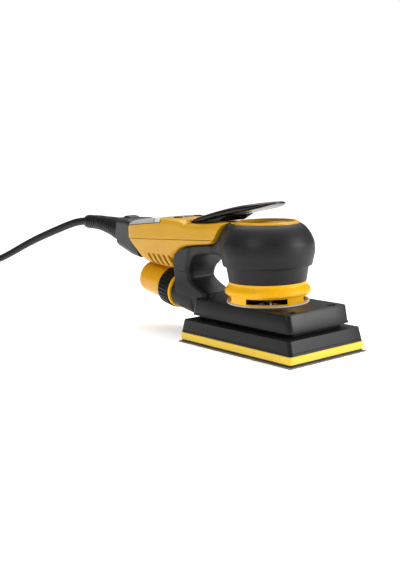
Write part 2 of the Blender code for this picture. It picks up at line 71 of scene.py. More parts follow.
LOG = logging.getLogger("sander")
MM = 0.001
GAP = 0.3
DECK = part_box("shroud")[1].z / MM
# Places that two or more sub-assemblies share, in mm: the dust port and its lean, the row
# of keys, the status window, the lever's pin, the well under the lever as its low X, high X
# and half width, and the pad's screws either side of the middle.
PORT_PLACE = (-112.6, 0.0, DECK - 2.75)
PORT_TURN = math.radians(9.46) - math.pi / 2
KEY_X, KEY_Y = -103.0, 11.0
LENS_X = -93.0
PIN_X, PIN_Z = -75.0, 63.3
WELL = (-68.5, -31.5, 16.5)
SCREW_X, SCREW_Y = 48.5, 22.0
Point = tuple[float, float, float]
Colour = tuple[float, float, float]


class Body(Enum):
    """The bodies that pieces ride on."""

    HOUSING = "housing"
    PAD = "pad"
    PADDLE = "paddle"
    MINUS = "minus_key"
    POWER = "power_key"
    PLUS = "plus_key"
    LATCH = "latch"
    COLLAR = "collar"
    TUBE = "tube"


class Join(Enum):
    """How one solid is combined with others."""

    CUT = "DIFFERENCE"
    ADD = "UNION"


# ---------------------------------------------------------------- shaping


def flow(rows: Sequence[Sequence[float]], count: int) -> list[tuple[float, ...]]:
    """Rows of numbers smoothed through a monotone cubic along their own length.

    Args:
        rows: The stations, each with the same number of columns.
        count: How many rows to return.

    Returns:
        The resampled rows, with the first and last as given.
    """
    at = [0.0]
    for a, b in zip(rows, rows[1:]):
        at.append(at[-1] + max(1e-6, math.dist(a, b)))
    wide = [b - a for a, b in zip(at, at[1:])]
    columns = []
    for col in zip(*rows):
        slope = [(b - a) / h for a, b, h in zip(col, col[1:], wide)]
        bend = [slope[0]]
        for k in range(1, len(slope)):
            lo, hi = slope[k - 1], slope[k]
            if lo * hi <= 0:
                bend.append(0.0)
                continue
            w1, w2 = 2 * wide[k] + wide[k - 1], wide[k] + 2 * wide[k - 1]
            bend.append((w1 + w2) / (w1 / lo + w2 / hi))
        columns.append((col, bend + [slope[-1]]))
    out = []
    span = 0
    for i in range(count):
        t = at[-1] * i / (count - 1)
        while span < len(wide) - 1 and t > at[span + 1]:
            span += 1
        h = wide[span]
        u = min(1.0, (t - at[span]) / h)
        h00, h10 = (1 + 2 * u) * (1 - u) ** 2, u * (1 - u) ** 2
        h01, h11 = u * u * (3 - 2 * u), u * u * (u - 1)
        out.append(tuple(h00 * c[span] + h10 * h * d[span] + h01 * c[span + 1] + h11 * h * d[span + 1]
                         for c, d in columns))
    return out


def rounded(half_a: float, half_b: float, low: tuple[float, float], high: tuple[float, float],
            arc: int = 6, side: int = 5) -> list[tuple[float, float]]:
    """A rectangle with elliptical corners, as (a, b) points anticlockwise.

    Args:
        half_a: Half of its width.
        half_b: Half of its height.
        low: Corner radii along a and b for the two low corners.
        high: The same for the two high corners.
        arc: Steps round a corner.
        side: Steps along a side.

    Returns:
        The points of the outline.
    """
    out: list[tuple[float, float]] = []
    for k, (sa, sb) in enumerate(((1, -1), (1, 1), (-1, 1), (-1, -1))):
        ra, rb = low if sb < 0 else high
        ra, rb = min(ra, half_a * 0.97), min(rb, half_b * 0.97)
        bend = []
        for i in range(arc + 1):
            t = math.radians(-90 + 90 * k + 90 * i / arc)
            bend.append((sa * (half_a - ra) + ra * math.cos(t), sb * (half_b - rb) + rb * math.sin(t)))
        if out:
            start, end = out[-1], bend[0]
            out += [(start[0] + (end[0] - start[0]) * i / side, start[1] + (end[1] - start[1]) * i / side)
                    for i in range(1, side)]
        out += bend
    start, end = out[-1], out[0]
    out += [(start[0] + (end[0] - start[0]) * i / side, start[1] + (end[1] - start[1]) * i / side)
            for i in range(1, side)]
    return out


def across(x: float, half: float, low: float, high: float, r_low: tuple[float, float],
           r_high: tuple[float, float]) -> list[Point]:
    """A rounded section across X, between two heights.

    Args:
        x: Place along X, in mm.
        half: Half of the width.
        low: Its low end, in mm.
        high: Its high end, in mm.
        r_low: Corner radii of the low corners, across and up.
        r_high: Corner radii of the high corners.

    Returns:
        The points of the section.
    """
    ring = rounded(half, (high - low) / 2, r_low, r_high)
    return [(x, y, (high + low) / 2 + z) for y, z in ring]


def plan(z: float, half_x: float, half_y: float, radius: float, middle: float = 0.0) -> list[Point]:
    """A rounded rectangle at a height, its centre at middle along X."""
    return [(middle + x, y, z) for x, y in rounded(half_x, half_y, (radius, radius), (radius, radius))]


def seam(x: float) -> float:
    """Height over the deck of the joint between the two tail shells.

    Args:
        x: Place along X, in mm.

    Returns:
        The height, in mm.
    """
    if x < -70.0:
        return 43.6 + (x + 162.0) * 4.0 / 92.0
    return 47.6 + (x + 70.0) * 1.2 / 26.0


def leaning(ring: Sequence[Point], rate: float = 0.0125) -> list[Point]:
    """A section whose sides draw in below the seam."""
    return [(x, y * (1 - rate * max(0.0, DECK + seam(x) - z)), z) for x, y, z in ring]


class Solid:
    """A closed shape in millimetres that becomes a finished object in metres."""

    def __init__(self, mesh: Optional[bmesh.types.BMesh] = None) -> None:
        """Start empty, or from a mesh."""
        self.mesh = mesh or bmesh.new()

    @classmethod
    def lathe(cls, profile: Sequence[tuple[float, float]], steps: int = 96) -> "Solid":
        """Spin a profile round Z.

        Args:
            profile: (radius, height) points. One that leaves the axis at both ends is closed into a ring.
            steps: Sides of the turned shape.

        Returns:
            The turned solid.
        """
        shape = cls()
        body = shape.mesh
        dots = [body.verts.new((r, 0.0, z)) for r, z in profile]
        lines = [body.edges.new(pair) for pair in zip(dots, dots[1:])]
        if profile[0][0] > 0:
            lines.append(body.edges.new((dots[-1], dots[0])))
        bmesh.ops.spin(body, geom=dots + lines, cent=(0, 0, 0), axis=(0, 0, 1), dvec=(0, 0, 0),
                       angle=2 * math.pi, steps=steps, use_merge=True, use_normal_flip=False,
                       use_duplicate=False)
        return shape.clean()

    @classmethod
    def skin(cls, rings: Sequence[Sequence[Point]]) -> "Solid":
        """Stretch a closed surface over rings with the same number of points, with flat ends.

        Args:
            rings: Sections with the same number of points each.

        Returns:
            The closed solid.
        """
        shape = cls()
        body = shape.mesh
        dots = bmesh.ops.create_circle(body, cap_ends=False, segments=len(rings[0]), radius=1.0)["verts"]
        for dot, place in zip(dots, rings[0]):
            dot.co = place
        edges = list(body.edges)
        bmesh.ops.contextual_create(body, geom=edges)
        for ring in rings[1:]:
            made = bmesh.ops.extrude_edge_only(body, edges=edges)["geom"]
            fresh = {item for item in made if isinstance(item, bmesh.types.BMVert)}
            edges = [item for item in made if isinstance(item, bmesh.types.BMEdge)
                     and item.verts[0] in fresh and item.verts[1] in fresh]
            follow = []
            for dot in dots:
                follow.append(next(e.other_vert(dot) for e in dot.link_edges if e.other_vert(dot) in fresh))
            dots = follow
            for dot, place in zip(dots, ring):
                dot.co = place
        bmesh.ops.contextual_create(body, geom=edges)
        return shape.clean()

    @classmethod
    def box(cls, low: Point, high: Point) -> "Solid":
        """A box between two corners.

        Args:
            low: Its low corner, in mm.
            high: Its high corner, in mm.

        Returns:
            The box.
        """
        shape = cls()
        bmesh.ops.create_cube(shape.mesh, size=1.0)
        bmesh.ops.scale(shape.mesh, vec=Vector(high) - Vector(low), verts=shape.mesh.verts)
        bmesh.ops.translate(shape.mesh, vec=(Vector(high) + Vector(low)) / 2, verts=shape.mesh.verts)
        return shape

    @classmethod
    def rod(cls, radius: float, low: float, high: float, steps: int = 48) -> "Solid":
        """A cylinder on Z between two heights.

        Args:
            radius: Radius, in mm.
            low: Its low end, in mm.
            high: Its high end, in mm.
            steps: Sides of the round shape.

        Returns:
            The cylinder.
        """
        shape = cls()
        bmesh.ops.create_cone(shape.mesh, cap_ends=True, segments=steps, radius1=radius, radius2=radius,
                              depth=high - low, matrix=Matrix.Translation((0, 0, (high + low) / 2)))
        return shape

    def clean(self) -> "Solid":
        """Merge doubles and turn the faces outwards.

        Returns:
            The same solid.
        """
        bmesh.ops.remove_doubles(self.mesh, verts=self.mesh.verts, dist=0.0005)
        bmesh.ops.recalc_face_normals(self.mesh, faces=self.mesh.faces)
        return self

    def put(self, place: Point = (0, 0, 0), turn: float = 0.0, axis: str = "Z") -> "Solid":
        """Turn by an angle about an axis, then move.

        Args:
            place: Where it stands.
            turn: Angle of the turn, in radians.
            axis: Axis of the turn.

        Returns:
            The same solid.
        """
        where = Matrix.Translation(place) @ Matrix.Rotation(turn, 4, axis)
        bmesh.ops.transform(self.mesh, matrix=where, verts=self.mesh.verts)
        return self

    def bevel(self, width: float, segments: int = 3, angle: float = 35.0) -> "Solid":
        """Round every edge sharper than an angle.

        Args:
            width: Width of the rounding.
            segments: Rows of faces in it.
            angle: Least angle between two faces, in degrees.

        Returns:
            The same solid.
        """
        sharp = [e for e in self.mesh.edges if len(e.link_faces) == 2
                 and e.calc_face_angle(0.0) > math.radians(angle)]
        bmesh.ops.bevel(self.mesh, geom=sharp, offset=width, offset_type="OFFSET", affect="EDGES",
                        segments=segments, profile=0.5, material=-1, clamp_overlap=True)
        return self

    def _object(self) -> bpy.types.Object:
        """A throwaway object of the shape.

        Returns:
            The object.
        """
        data = bpy.data.meshes.new("work")
        self.mesh.to_mesh(data)
        obj = bpy.data.objects.new("work", data)
        bpy.context.scene.collection.objects.link(obj)
        return obj

    def _bake(self, obj: bpy.types.Object, helpers: Sequence[bpy.types.Object] = ()) -> "Solid":
        """Take the shape back from an object and its modifiers, and drop the throwaways.

        Args:
            obj: The object with the modifiers.
            helpers: Objects that the modifiers use.

        Returns:
            The same solid.
        """
        graph = bpy.context.evaluated_depsgraph_get()
        data = bpy.data.meshes.new_from_object(obj.evaluated_get(graph))
        self.mesh.free()
        self.mesh = bmesh.new()
        self.mesh.from_mesh(data)
        bpy.data.meshes.remove(data)
        for item in (obj, *helpers):
            spare = item.data
            bpy.data.objects.remove(item, do_unlink=True)
            bpy.data.meshes.remove(spare)
        return self

    def combine(self, others: Sequence["Solid"], how: Join = Join.CUT) -> "Solid":
        """Cut others away, or add them, one by one.

        Args:
            others: The solids to combine with.
            how: Whether they are cut away or added.

        Returns:
            The same solid.
        """
        host = self._object()
        helpers = [other._object() for other in others]
        for helper in helpers:
            mod = host.modifiers.new("join", "BOOLEAN")
            mod.operation, mod.solver, mod.object = how.value, "EXACT", helper
        return self._bake(host, helpers)

    def melt(self, voxel: float, rounds: int) -> "Solid":
        """Remake the surface as one even skin, then relax it.

        Args:
            voxel: Size of a step of the new skin.
            rounds: How many times it is eased.

        Returns:
            The same solid.
        """
        host = self._object()
        remesh = host.modifiers.new("skin", "REMESH")
        remesh.mode, remesh.voxel_size = "VOXEL", voxel
        ease = host.modifiers.new("ease", "SMOOTH")
        ease.factor, ease.iterations = 0.5, rounds
        return self._bake(host)

    def relax(self, weight: Callable[[Vector], float], rounds: int) -> "Solid":
        """Smooth the surface where a weight says so, into a fillet.

        Args:
            weight: Gives the share that a point moves.
            rounds: How many times it is eased.

        Returns:
            The same solid.
        """
        for _ in range(rounds):
            moves = []
            for dot in self.mesh.verts:
                share = weight(dot.co)
                if share > 0.0:
                    near = [e.other_vert(dot).co for e in dot.link_edges]
                    moves.append((dot, dot.co.lerp(sum(near, Vector()) / len(near), share)))
            for dot, place in moves:
                dot.co = place
        return self

    def slice(self, height: float, keep_above: bool) -> "Solid":
        """Keep what lies above or below a height, and close the cut.

        Args:
            height: Height of the cut.
            keep_above: Whether the upper part stays.

        Returns:
            The same solid.
        """
        geom = [*self.mesh.verts, *self.mesh.edges, *self.mesh.faces]
        cut = bmesh.ops.bisect_plane(self.mesh, geom=geom, dist=0.0001, plane_co=(0, 0, height),
                                     plane_no=(0, 0, 1), clear_inner=keep_above,
                                     clear_outer=not keep_above)["geom_cut"]
        rim = [item for item in cut if isinstance(item, bmesh.types.BMEdge)]
        bmesh.ops.edgenet_fill(self.mesh, edges=rim)
        bmesh.ops.recalc_face_normals(self.mesh, faces=self.mesh.faces)
        return self

    def copy(self) -> "Solid":
        """A second solid of the same shape."""
        return Solid(self.mesh.copy())

    def finish(self, name: str, body: Body, look: "Finish", replaces: Sequence[str] = (),
               slot: str = "", angle: float = 35.0, soft: float = 0.0) -> bpy.types.Object:
        """Make the object, dress it and hang it on its body.

        Args:
            name: The piece's name.
            body: The body that it moves with.
            look: Its finish.
            replaces: The frame's nodes that it stands for.
            slot: Not used; meant as the record's material slot, or the finish's own.
            angle: Edges sharper than this stay crisp, in degrees.
            soft: Width in mm of a live bevel on the crisp edges.

        Returns:
            The finished object.
        """
        bmesh.ops.scale(self.mesh, vec=(MM, MM, MM), verts=self.mesh.verts)
        data = bpy.data.meshes.new(name)
        self.mesh.to_mesh(data)
        self.mesh.free()
        data.shade_smooth()
        data.set_sharp_from_angle(angle=math.radians(angle))
        obj = bpy.data.objects.new(name, data)
        bpy.context.scene.collection.objects.link(obj)
        data.materials.append(look.material())
        if soft:
            mod = obj.modifiers.new("edges", "BEVEL")
            mod.width, mod.segments, mod.limit_method = soft * MM, 2, "ANGLE"
            mod.angle_limit, mod.harden_normals = math.radians(angle), True
        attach(obj, body.value)
        if replaces:
            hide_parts(*replaces)
        LOG.info("%s: %d faces", name, len(data.polygons))
        return obj


# ---------------------------------------------------------------- materials

Value = Union["Sock", float, int, tuple]


class Sock:
    """An output socket whose arithmetic adds Math nodes."""

    def __init__(self, paint: "Paint", out: bpy.types.NodeSocket) -> None:
        """Wrap a socket of a paint's tree."""
        self.paint, self.out = paint, out

    def _with(self, kind: str, first: Value, second: Value) -> "Sock":
        """One Math node on two values."""
        return self.paint.node("Math", {"operation": kind}, {0: first, 1: second})

    def __add__(self, other: Value) -> "Sock":
        """Sum."""
        return self._with("ADD", self, other)

    __radd__ = __add__

    def __sub__(self, other: Value) -> "Sock":
        """Difference."""
        return self._with("SUBTRACT", self, other)

    def __rsub__(self, other: Value) -> "Sock":
        """Difference from a number."""
        return self._with("SUBTRACT", other, self)

    def __mul__(self, other: Value) -> "Sock":
        """Product."""
        return self._with("MULTIPLY", self, other)

    __rmul__ = __mul__

    def __truediv__(self, other: Value) -> "Sock":
        """Quotient."""
        return self._with("DIVIDE", self, other)

    def __pow__(self, other: Value) -> "Sock":
        """Power."""
        return self._with("POWER", self, other)

    def __abs__(self) -> "Sock":
        """Size without sign."""
        return self._with("ABSOLUTE", self, 0.0)

    def over(self, edge: float, soft: float) -> "Sock":
        """A mask that rises from 0 to 1 round an edge."""
        return self.paint.node("MapRange", {"interpolation_type": "SMOOTHSTEP"},
                               {"Value": self, "From Min": edge - soft, "From Max": edge + soft})


class Paint:
    """A material being mixed: its tree, its shader and one way to add any node."""

    def __init__(self, name: str) -> None:
        """Start with a plain shader.

        Args:
            name: The material's name.
        """
        self.material = bpy.data.materials.new(name)
        self.material.use_nodes = True
        self.tree = self.material.node_tree
        self.shader = self.tree.nodes["Principled BSDF"]

    def _feed(self, socket: bpy.types.NodeSocket, value: Value) -> None:
        """Link or set one input.

        Args:
            socket: The input to feed.
            value: A link, number or colour.
        """
        if isinstance(value, Sock):
            self.tree.links.new(value.out, socket)
        elif isinstance(value, tuple) and socket.type == "RGBA":
            socket.default_value = (*value[:3], 1.0)
        else:
            socket.default_value = value

    def node(self, kind: str, settings: Optional[dict] = None, inputs: Optional[dict] = None,
             output: Union[int, str] = 0) -> Sock:
        """Add a node.

        Args:
            kind: The node's type, without its ShaderNode prefix.
            settings: Its properties, set before its sockets.
            inputs: Values or links by socket name or number.
            output: Which output to return.

        Returns:
            The wrapped output.
        """
        made = self.tree.nodes.new("ShaderNode" + kind)
        for key, value in (settings or {}).items():
            setattr(made, key, value)
        for key, value in (inputs or {}).items():
            self._feed(made.inputs[key], value)
        return Sock(self, made.outputs[output])

    def place(self) -> Sock:
        """Object coordinates."""
        return self.node("TexCoord", output="Object")

    def axes(self) -> tuple[Sock, Sock, Sock]:
        """The three Object coordinates one by one.

        Returns:
            The x, y and z outputs.
        """
        parts = self.node("SeparateXYZ", inputs={0: self.place()})
        outs = parts.out.node.outputs
        return parts, Sock(self, outs[1]), Sock(self, outs[2])

    def noise(self, scale: float, detail: float = 2.0, rough: float = 0.5) -> Sock:
        """Noise on Object coordinates, from 0 to 1."""
        return self.node("TexNoise", inputs={"Vector": self.place(), "Scale": scale, "Detail": detail,
                                             "Roughness": rough})

    def mix(self, mask: Value, low: Value, high: Value) -> Sock:
        """A colour between two.

        Args:
            mask: Share of the second colour.
            low: Colour where the mask is 0.
            high: Colour where the mask is 1.

        Returns:
            The mixed colour.
        """
        made = self.tree.nodes.new("ShaderNodeMix")
        made.data_type = "RGBA"
        for key, value in ((0, mask), (6, low), (7, high)):
            self._feed(made.inputs[key], value)
        return Sock(self, made.outputs[2])

    def bump(self, height: Sock, depth: float, strength: float = 1.0) -> None:
        """Roughen the surface by a height, with its depth in metres."""
        self.set("Normal", self.node("Bump", inputs={"Strength": strength, "Distance": depth,
                                                     "Height": height}))

    def set(self, socket: str, value: Value) -> None:
        """Feed one of the shader's sockets."""
        self._feed(self.shader.inputs[socket], value)


@dataclass(frozen=True)
class Finish:
    """A finish by name, made once and shared."""

    name: str
    slot: str

    def material(self) -> bpy.types.Material:
        """The finish's material, mixed on first use.

        Returns:
            The material.
        """
        if self.name in bpy.data.materials and bpy.data.materials[self.name].get("mixed"):
            return bpy.data.materials[self.name]
        paint = Paint(self.name)
        self.mix(paint)
        paint.material["mixed"] = True
        return paint.material

    def mix(self, paint: Paint) -> None:
        """Fill in the material."""
        raise NotImplementedError


@dataclass(frozen=True)
class Moulded(Finish):
    """Moulded plastic or rubber with a fine grain, slow tone drift and handling marks."""

    colour: Colour
    deep: Colour
    rough: float = 0.4
    grain: float = 1500.0
    depth: float = 0.00003
    coat: float = 0.0
    scuff: float = 0.08
    shine: float = 0.5

    def mix(self, paint: Paint) -> None:
        """Drift between two tones, with scuffs that dull it and a grain that breaks highlights.

        Args:
            paint: The material being mixed.
        """
        drift = paint.noise(22.0, 3.0)
        dust = paint.noise(260.0, 4.0, 0.65).over(0.66, 0.09)
        tone = paint.mix(drift.over(0.5, 0.22), self.deep, self.colour)
        worn = tuple(min(1.0, c * 1.25 + 0.012) for c in self.colour)
        paint.set("Base Color", paint.mix(dust * 0.35, tone, worn))
        streak = paint.noise(90.0, 5.0, 0.6)
        paint.set("Roughness", streak * self.scuff + (self.rough - self.scuff / 2) + dust * 0.05)
        paint.bump(paint.noise(self.grain, 2.0) + paint.noise(self.grain * 0.23, 2.0) * 0.6, self.depth, 0.6)
        paint.set("Coat Weight", self.coat)
        paint.set("Coat Roughness", 0.12)
        paint.set("Specular IOR Level", self.shine)


@dataclass(frozen=True)
class Sponge(Finish):
    """Closed-cell foam with open pores on its cut sides."""

    colour: Colour
    # deep: the foam's colour with painted shade, used inside the pores
    deep: Colour

    def mix(self, paint: Paint) -> None:
        """Pores of two sizes dent the foam, and painted shade darkens them.

        Args:
            paint: The material being mixed.
        """
        fine = paint.node("TexVoronoi", inputs={"Vector": paint.place(), "Scale": 1500.0})
        coarse = paint.node("TexVoronoi", inputs={"Vector": paint.place(), "Scale": 620.0})
        pore_dent_and_shade = fine.over(0.25, 0.2) * 0.6 + coarse.over(0.22, 0.16) * 0.4
        drift = paint.noise(40.0, 3.0)
        # Painted shade: the pores take the deep colour, mixed with a slow random tone drift.
        paint.set("Base Color", paint.mix(pore_dent_and_shade * 0.8 + drift * 0.2, self.deep, self.colour))
        paint.set("Roughness", 0.95 - pore_dent_and_shade * 0.15)
        paint.bump(pore_dent_and_shade, 0.00025, 0.55)
        paint.set("Sheen Weight", 0.15)


@dataclass(frozen=True)
class Net(Finish):
    """Woven abrasive net, with grit on its threads."""

    thread: Colour
    gap: Colour

    def mix(self, paint: Paint) -> None:
        """Two crossed sets of threads with grit.

        Args:
            paint: The material being mixed.
        """
        x, y, _ = paint.axes()
        warp = paint.node("Math", {"operation": "SINE"}, {0: (x + y) * 4200.0})
        weft = paint.node("Math", {"operation": "SINE"}, {0: (x - y) * 4200.0})
        weave = (warp * weft) * 0.5 + 0.5
        grit = paint.noise(4200.0, 2.0)
        paint.set("Base Color", paint.mix(weave * 0.7 + grit * 0.4, self.gap, self.thread))
        paint.set("Roughness", 0.92 - grit * 0.12)
        paint.bump(weave + grit * 0.5, 0.0002, 0.8)


@dataclass(frozen=True)
class Loops(Finish):
    """Hook fabric: a dense dark pile."""

    colour: Colour

    def mix(self, paint: Paint) -> None:
        """Short fibres as fine dents.

        Args:
            paint: The material being mixed.
        """
        pile = paint.node("TexVoronoi", inputs={"Vector": paint.place(), "Scale": 1900.0})
        pale = tuple(min(1.0, c * 3.0 + 0.01) for c in self.colour)
        paint.set("Base Color", paint.mix(pile * 0.9, self.colour, pale))
        paint.set("Roughness", 0.9 + pile * 0.1)
        paint.bump(pile, 0.0004, 0.9)
        paint.set("Sheen Weight", 0.3)


@dataclass(frozen=True)
class Metal(Finish):
    """Turned or drawn metal with fine tool marks along Z."""

    colour: Colour
    rough: float = 0.3

    def mix(self, paint: Paint) -> None:
        """Brushed bands and a faint stain.

        Args:
            paint: The material being mixed.
        """
        marks = paint.node("TexNoise", inputs={
            "Vector": paint.node("VectorMath", {"operation": "MULTIPLY"},
                                 {0: paint.place(), 1: (60.0, 60.0, 2600.0)}), "Scale": 1.0, "Detail": 2.0})
        stain = paint.noise(120.0, 3.0)
        dark = tuple(c * 0.72 for c in self.colour)
        paint.set("Base Color", paint.mix(stain, dark, self.colour))
        paint.set("Metallic", 1.0)
        paint.set("Roughness", marks * 0.18 + (self.rough - 0.09))
        paint.bump(marks, 0.00001, 0.5)


@dataclass(frozen=True)
class Inlay(Finish):
    """The shell's top: a silver field on the rear of the crown, edged and crossed by dark lines."""

    silver: Colour
    line: Colour
    shell: Colour
    deep: Colour
    edge: float = 0.0925
    rise: float = 0.095
    front: float = -0.121
    inner: float = -0.133

    def mix(self, paint: Paint) -> None:
        """Silver above the shoulder's edge and behind a shallow arc, amber elsewhere.

        Args:
            paint: The material being mixed.
        """
        x, y, z = paint.axes()
        bow = (y * 40.0) * (y * 40.0)
        above = z - self.edge - (x + 0.163) * self.rise
        behind = bow * 0.010 + self.front - x
        second = bow * 0.013 + self.inner - x
        field = above.over(0.0, 0.0002) * behind.over(0.0, 0.0002)
        rim = 1 - above.over(0.0007, 0.0002) * behind.over(0.0009, 0.0002)
        cross = second.over(0.0, 0.0002) * (1 - second.over(0.0011, 0.0002))
        tone = paint.mix(paint.noise(700.0, 3.0), tuple(c * 0.85 for c in self.silver), self.silver)
        tone = paint.mix(second.over(0.0, 0.0002), tone, tuple(c * 0.62 for c in self.silver))
        lined = paint.mix(rim + cross - rim * cross, tone, self.line)
        drift = paint.noise(22.0, 3.0).over(0.5, 0.22)
        paint.set("Base Color", paint.mix(field, paint.mix(drift, self.deep, self.shell), lined))
        paint.set("Roughness", paint.noise(90.0, 5.0, 0.6) * 0.08 + 0.32)
        paint.bump(paint.noise(1500.0, 2.0), 0.00003, 0.6)
        paint.set("Coat Weight", 0.08)
        paint.set("Coat Roughness", 0.12)
        paint.set("Specular IOR Level", 0.3)


@dataclass(frozen=True)
class Board(Finish):
    """Circuit board with copper tracks under green lacquer."""

    def mix(self, paint: Paint) -> None:
        """Tracks as a brick pattern.

        Args:
            paint: The material being mixed.
        """
        tracks = paint.node("TexBrick", inputs={"Vector": paint.place(), "Scale": 420.0,
                                                "Mortar Size": 0.03}, output="Fac")
        paint.set("Base Color", paint.mix(tracks, (0.015, 0.12, 0.05), (0.05, 0.28, 0.10)))
        paint.set("Roughness", 0.35 + tracks * 0.2)
        paint.bump(tracks, 0.00005)


@dataclass(frozen=True)
class Lens(Finish):
    """Clear tinted window of the status light."""

    colour: Colour

    def mix(self, paint: Paint) -> None:
        """Ribbed clear plastic.

        Args:
            paint: The material being mixed.
        """
        ribs = paint.noise(900.0)
        paint.set("Base Color", paint.mix(ribs, tuple(c * 0.7 for c in self.colour), self.colour))
        paint.set("Roughness", 0.12 + ribs * 0.1)
        paint.set("Coat Weight", 0.8)


AMBER = Moulded("amber_plastic", "amber",
                (0.62, 0.325, 0.008), (0.57, 0.29, 0.006), 0.36, coat=0.08, shine=0.3)
TUBE_AMBER = Moulded("amber_tube", "amber",
                     (0.80, 0.40, 0.004), (0.74, 0.35, 0.003), 0.30, coat=0.12, shine=0.3)
YELLOW = Moulded("yellow_ring", "yellow",
                 (0.96, 0.50, 0.001), (0.92, 0.45, 0.001), 0.34, coat=0.1, shine=0.25)
GRIP = Moulded("grip_rubber", "grip",
               (0.0085, 0.0085, 0.009), (0.0065, 0.0065, 0.007), 0.48, 1300.0, 0.00004, shine=0.28)
SATIN = Moulded("black_satin", "black",
                (0.0072, 0.0075, 0.008), (0.0055, 0.0058, 0.0062), 0.36, 1100.0, 0.00004, shine=0.25)
GLOSS = Moulded("black_gloss", "black",
                (0.003, 0.003, 0.0033), (0.0024, 0.0024, 0.0027), 0.26, 900.0, 0.00002,
                coat=0.1, shine=0.25)
CORD = Moulded("cord_rubber", "rubber",
               (0.0065, 0.0065, 0.007), (0.0045, 0.0045, 0.005), 0.5, 1400.0, 0.00005, scuff=0.04, shine=0.15)
BOOT = Moulded("boot_rubber", "rubber",
               (0.007, 0.007, 0.0075), (0.005, 0.005, 0.0055), 0.38, 1300.0, shine=0.3)
GREY = Moulded("grey_plastic", "grey", (0.020, 0.020, 0.022), (0.014, 0.014, 0.016), 0.34, shine=0.35)
KEY_GREY = Moulded("grey_keys", "grey", (0.20, 0.205, 0.21), (0.17, 0.175, 0.18), 0.4)
PALE = Moulded("pale_gasket", "pale", (0.62, 0.62, 0.60), (0.55, 0.55, 0.53), 0.4)
# The foam's second colour is painted shade for the insides of its pores.
FOAM = Sponge("yellow_foam", "foam", (0.92, 0.64, 0.055), (0.80, 0.50, 0.03))
HOOKS = Loops("hook_pile", "hook", (0.012, 0.012, 0.012))
NET = Net("abrasive_net", "net", (0.30, 0.25, 0.22), (0.09, 0.075, 0.07))
STEEL = Metal("steel", "steel", (0.58, 0.59, 0.60), 0.3)
ALLOY = Metal("alloy", "alloy", (0.68, 0.69, 0.70), 0.36)
COPPER = Metal("copper", "copper", (0.70, 0.34, 0.18), 0.4)
CHROME = Metal("chrome", "chrome", (0.80, 0.81, 0.82), 0.14)
BOARD = Board("circuit_board", "board")
LENS = Lens("status_lens", "lens", (0.30, 0.62, 0.34))
PANEL = Inlay("control_inlay", "amber", (0.66, 0.66, 0.65), (0.012, 0.012, 0.013), (0.62, 0.325, 0.008),
              (0.57, 0.29, 0.006))
TIE = Moulded("tie_strap", "black", (0.018, 0.018, 0.019), (0.012, 0.012, 0.013), 0.5)


# ---------------------------------------------------------------- stage


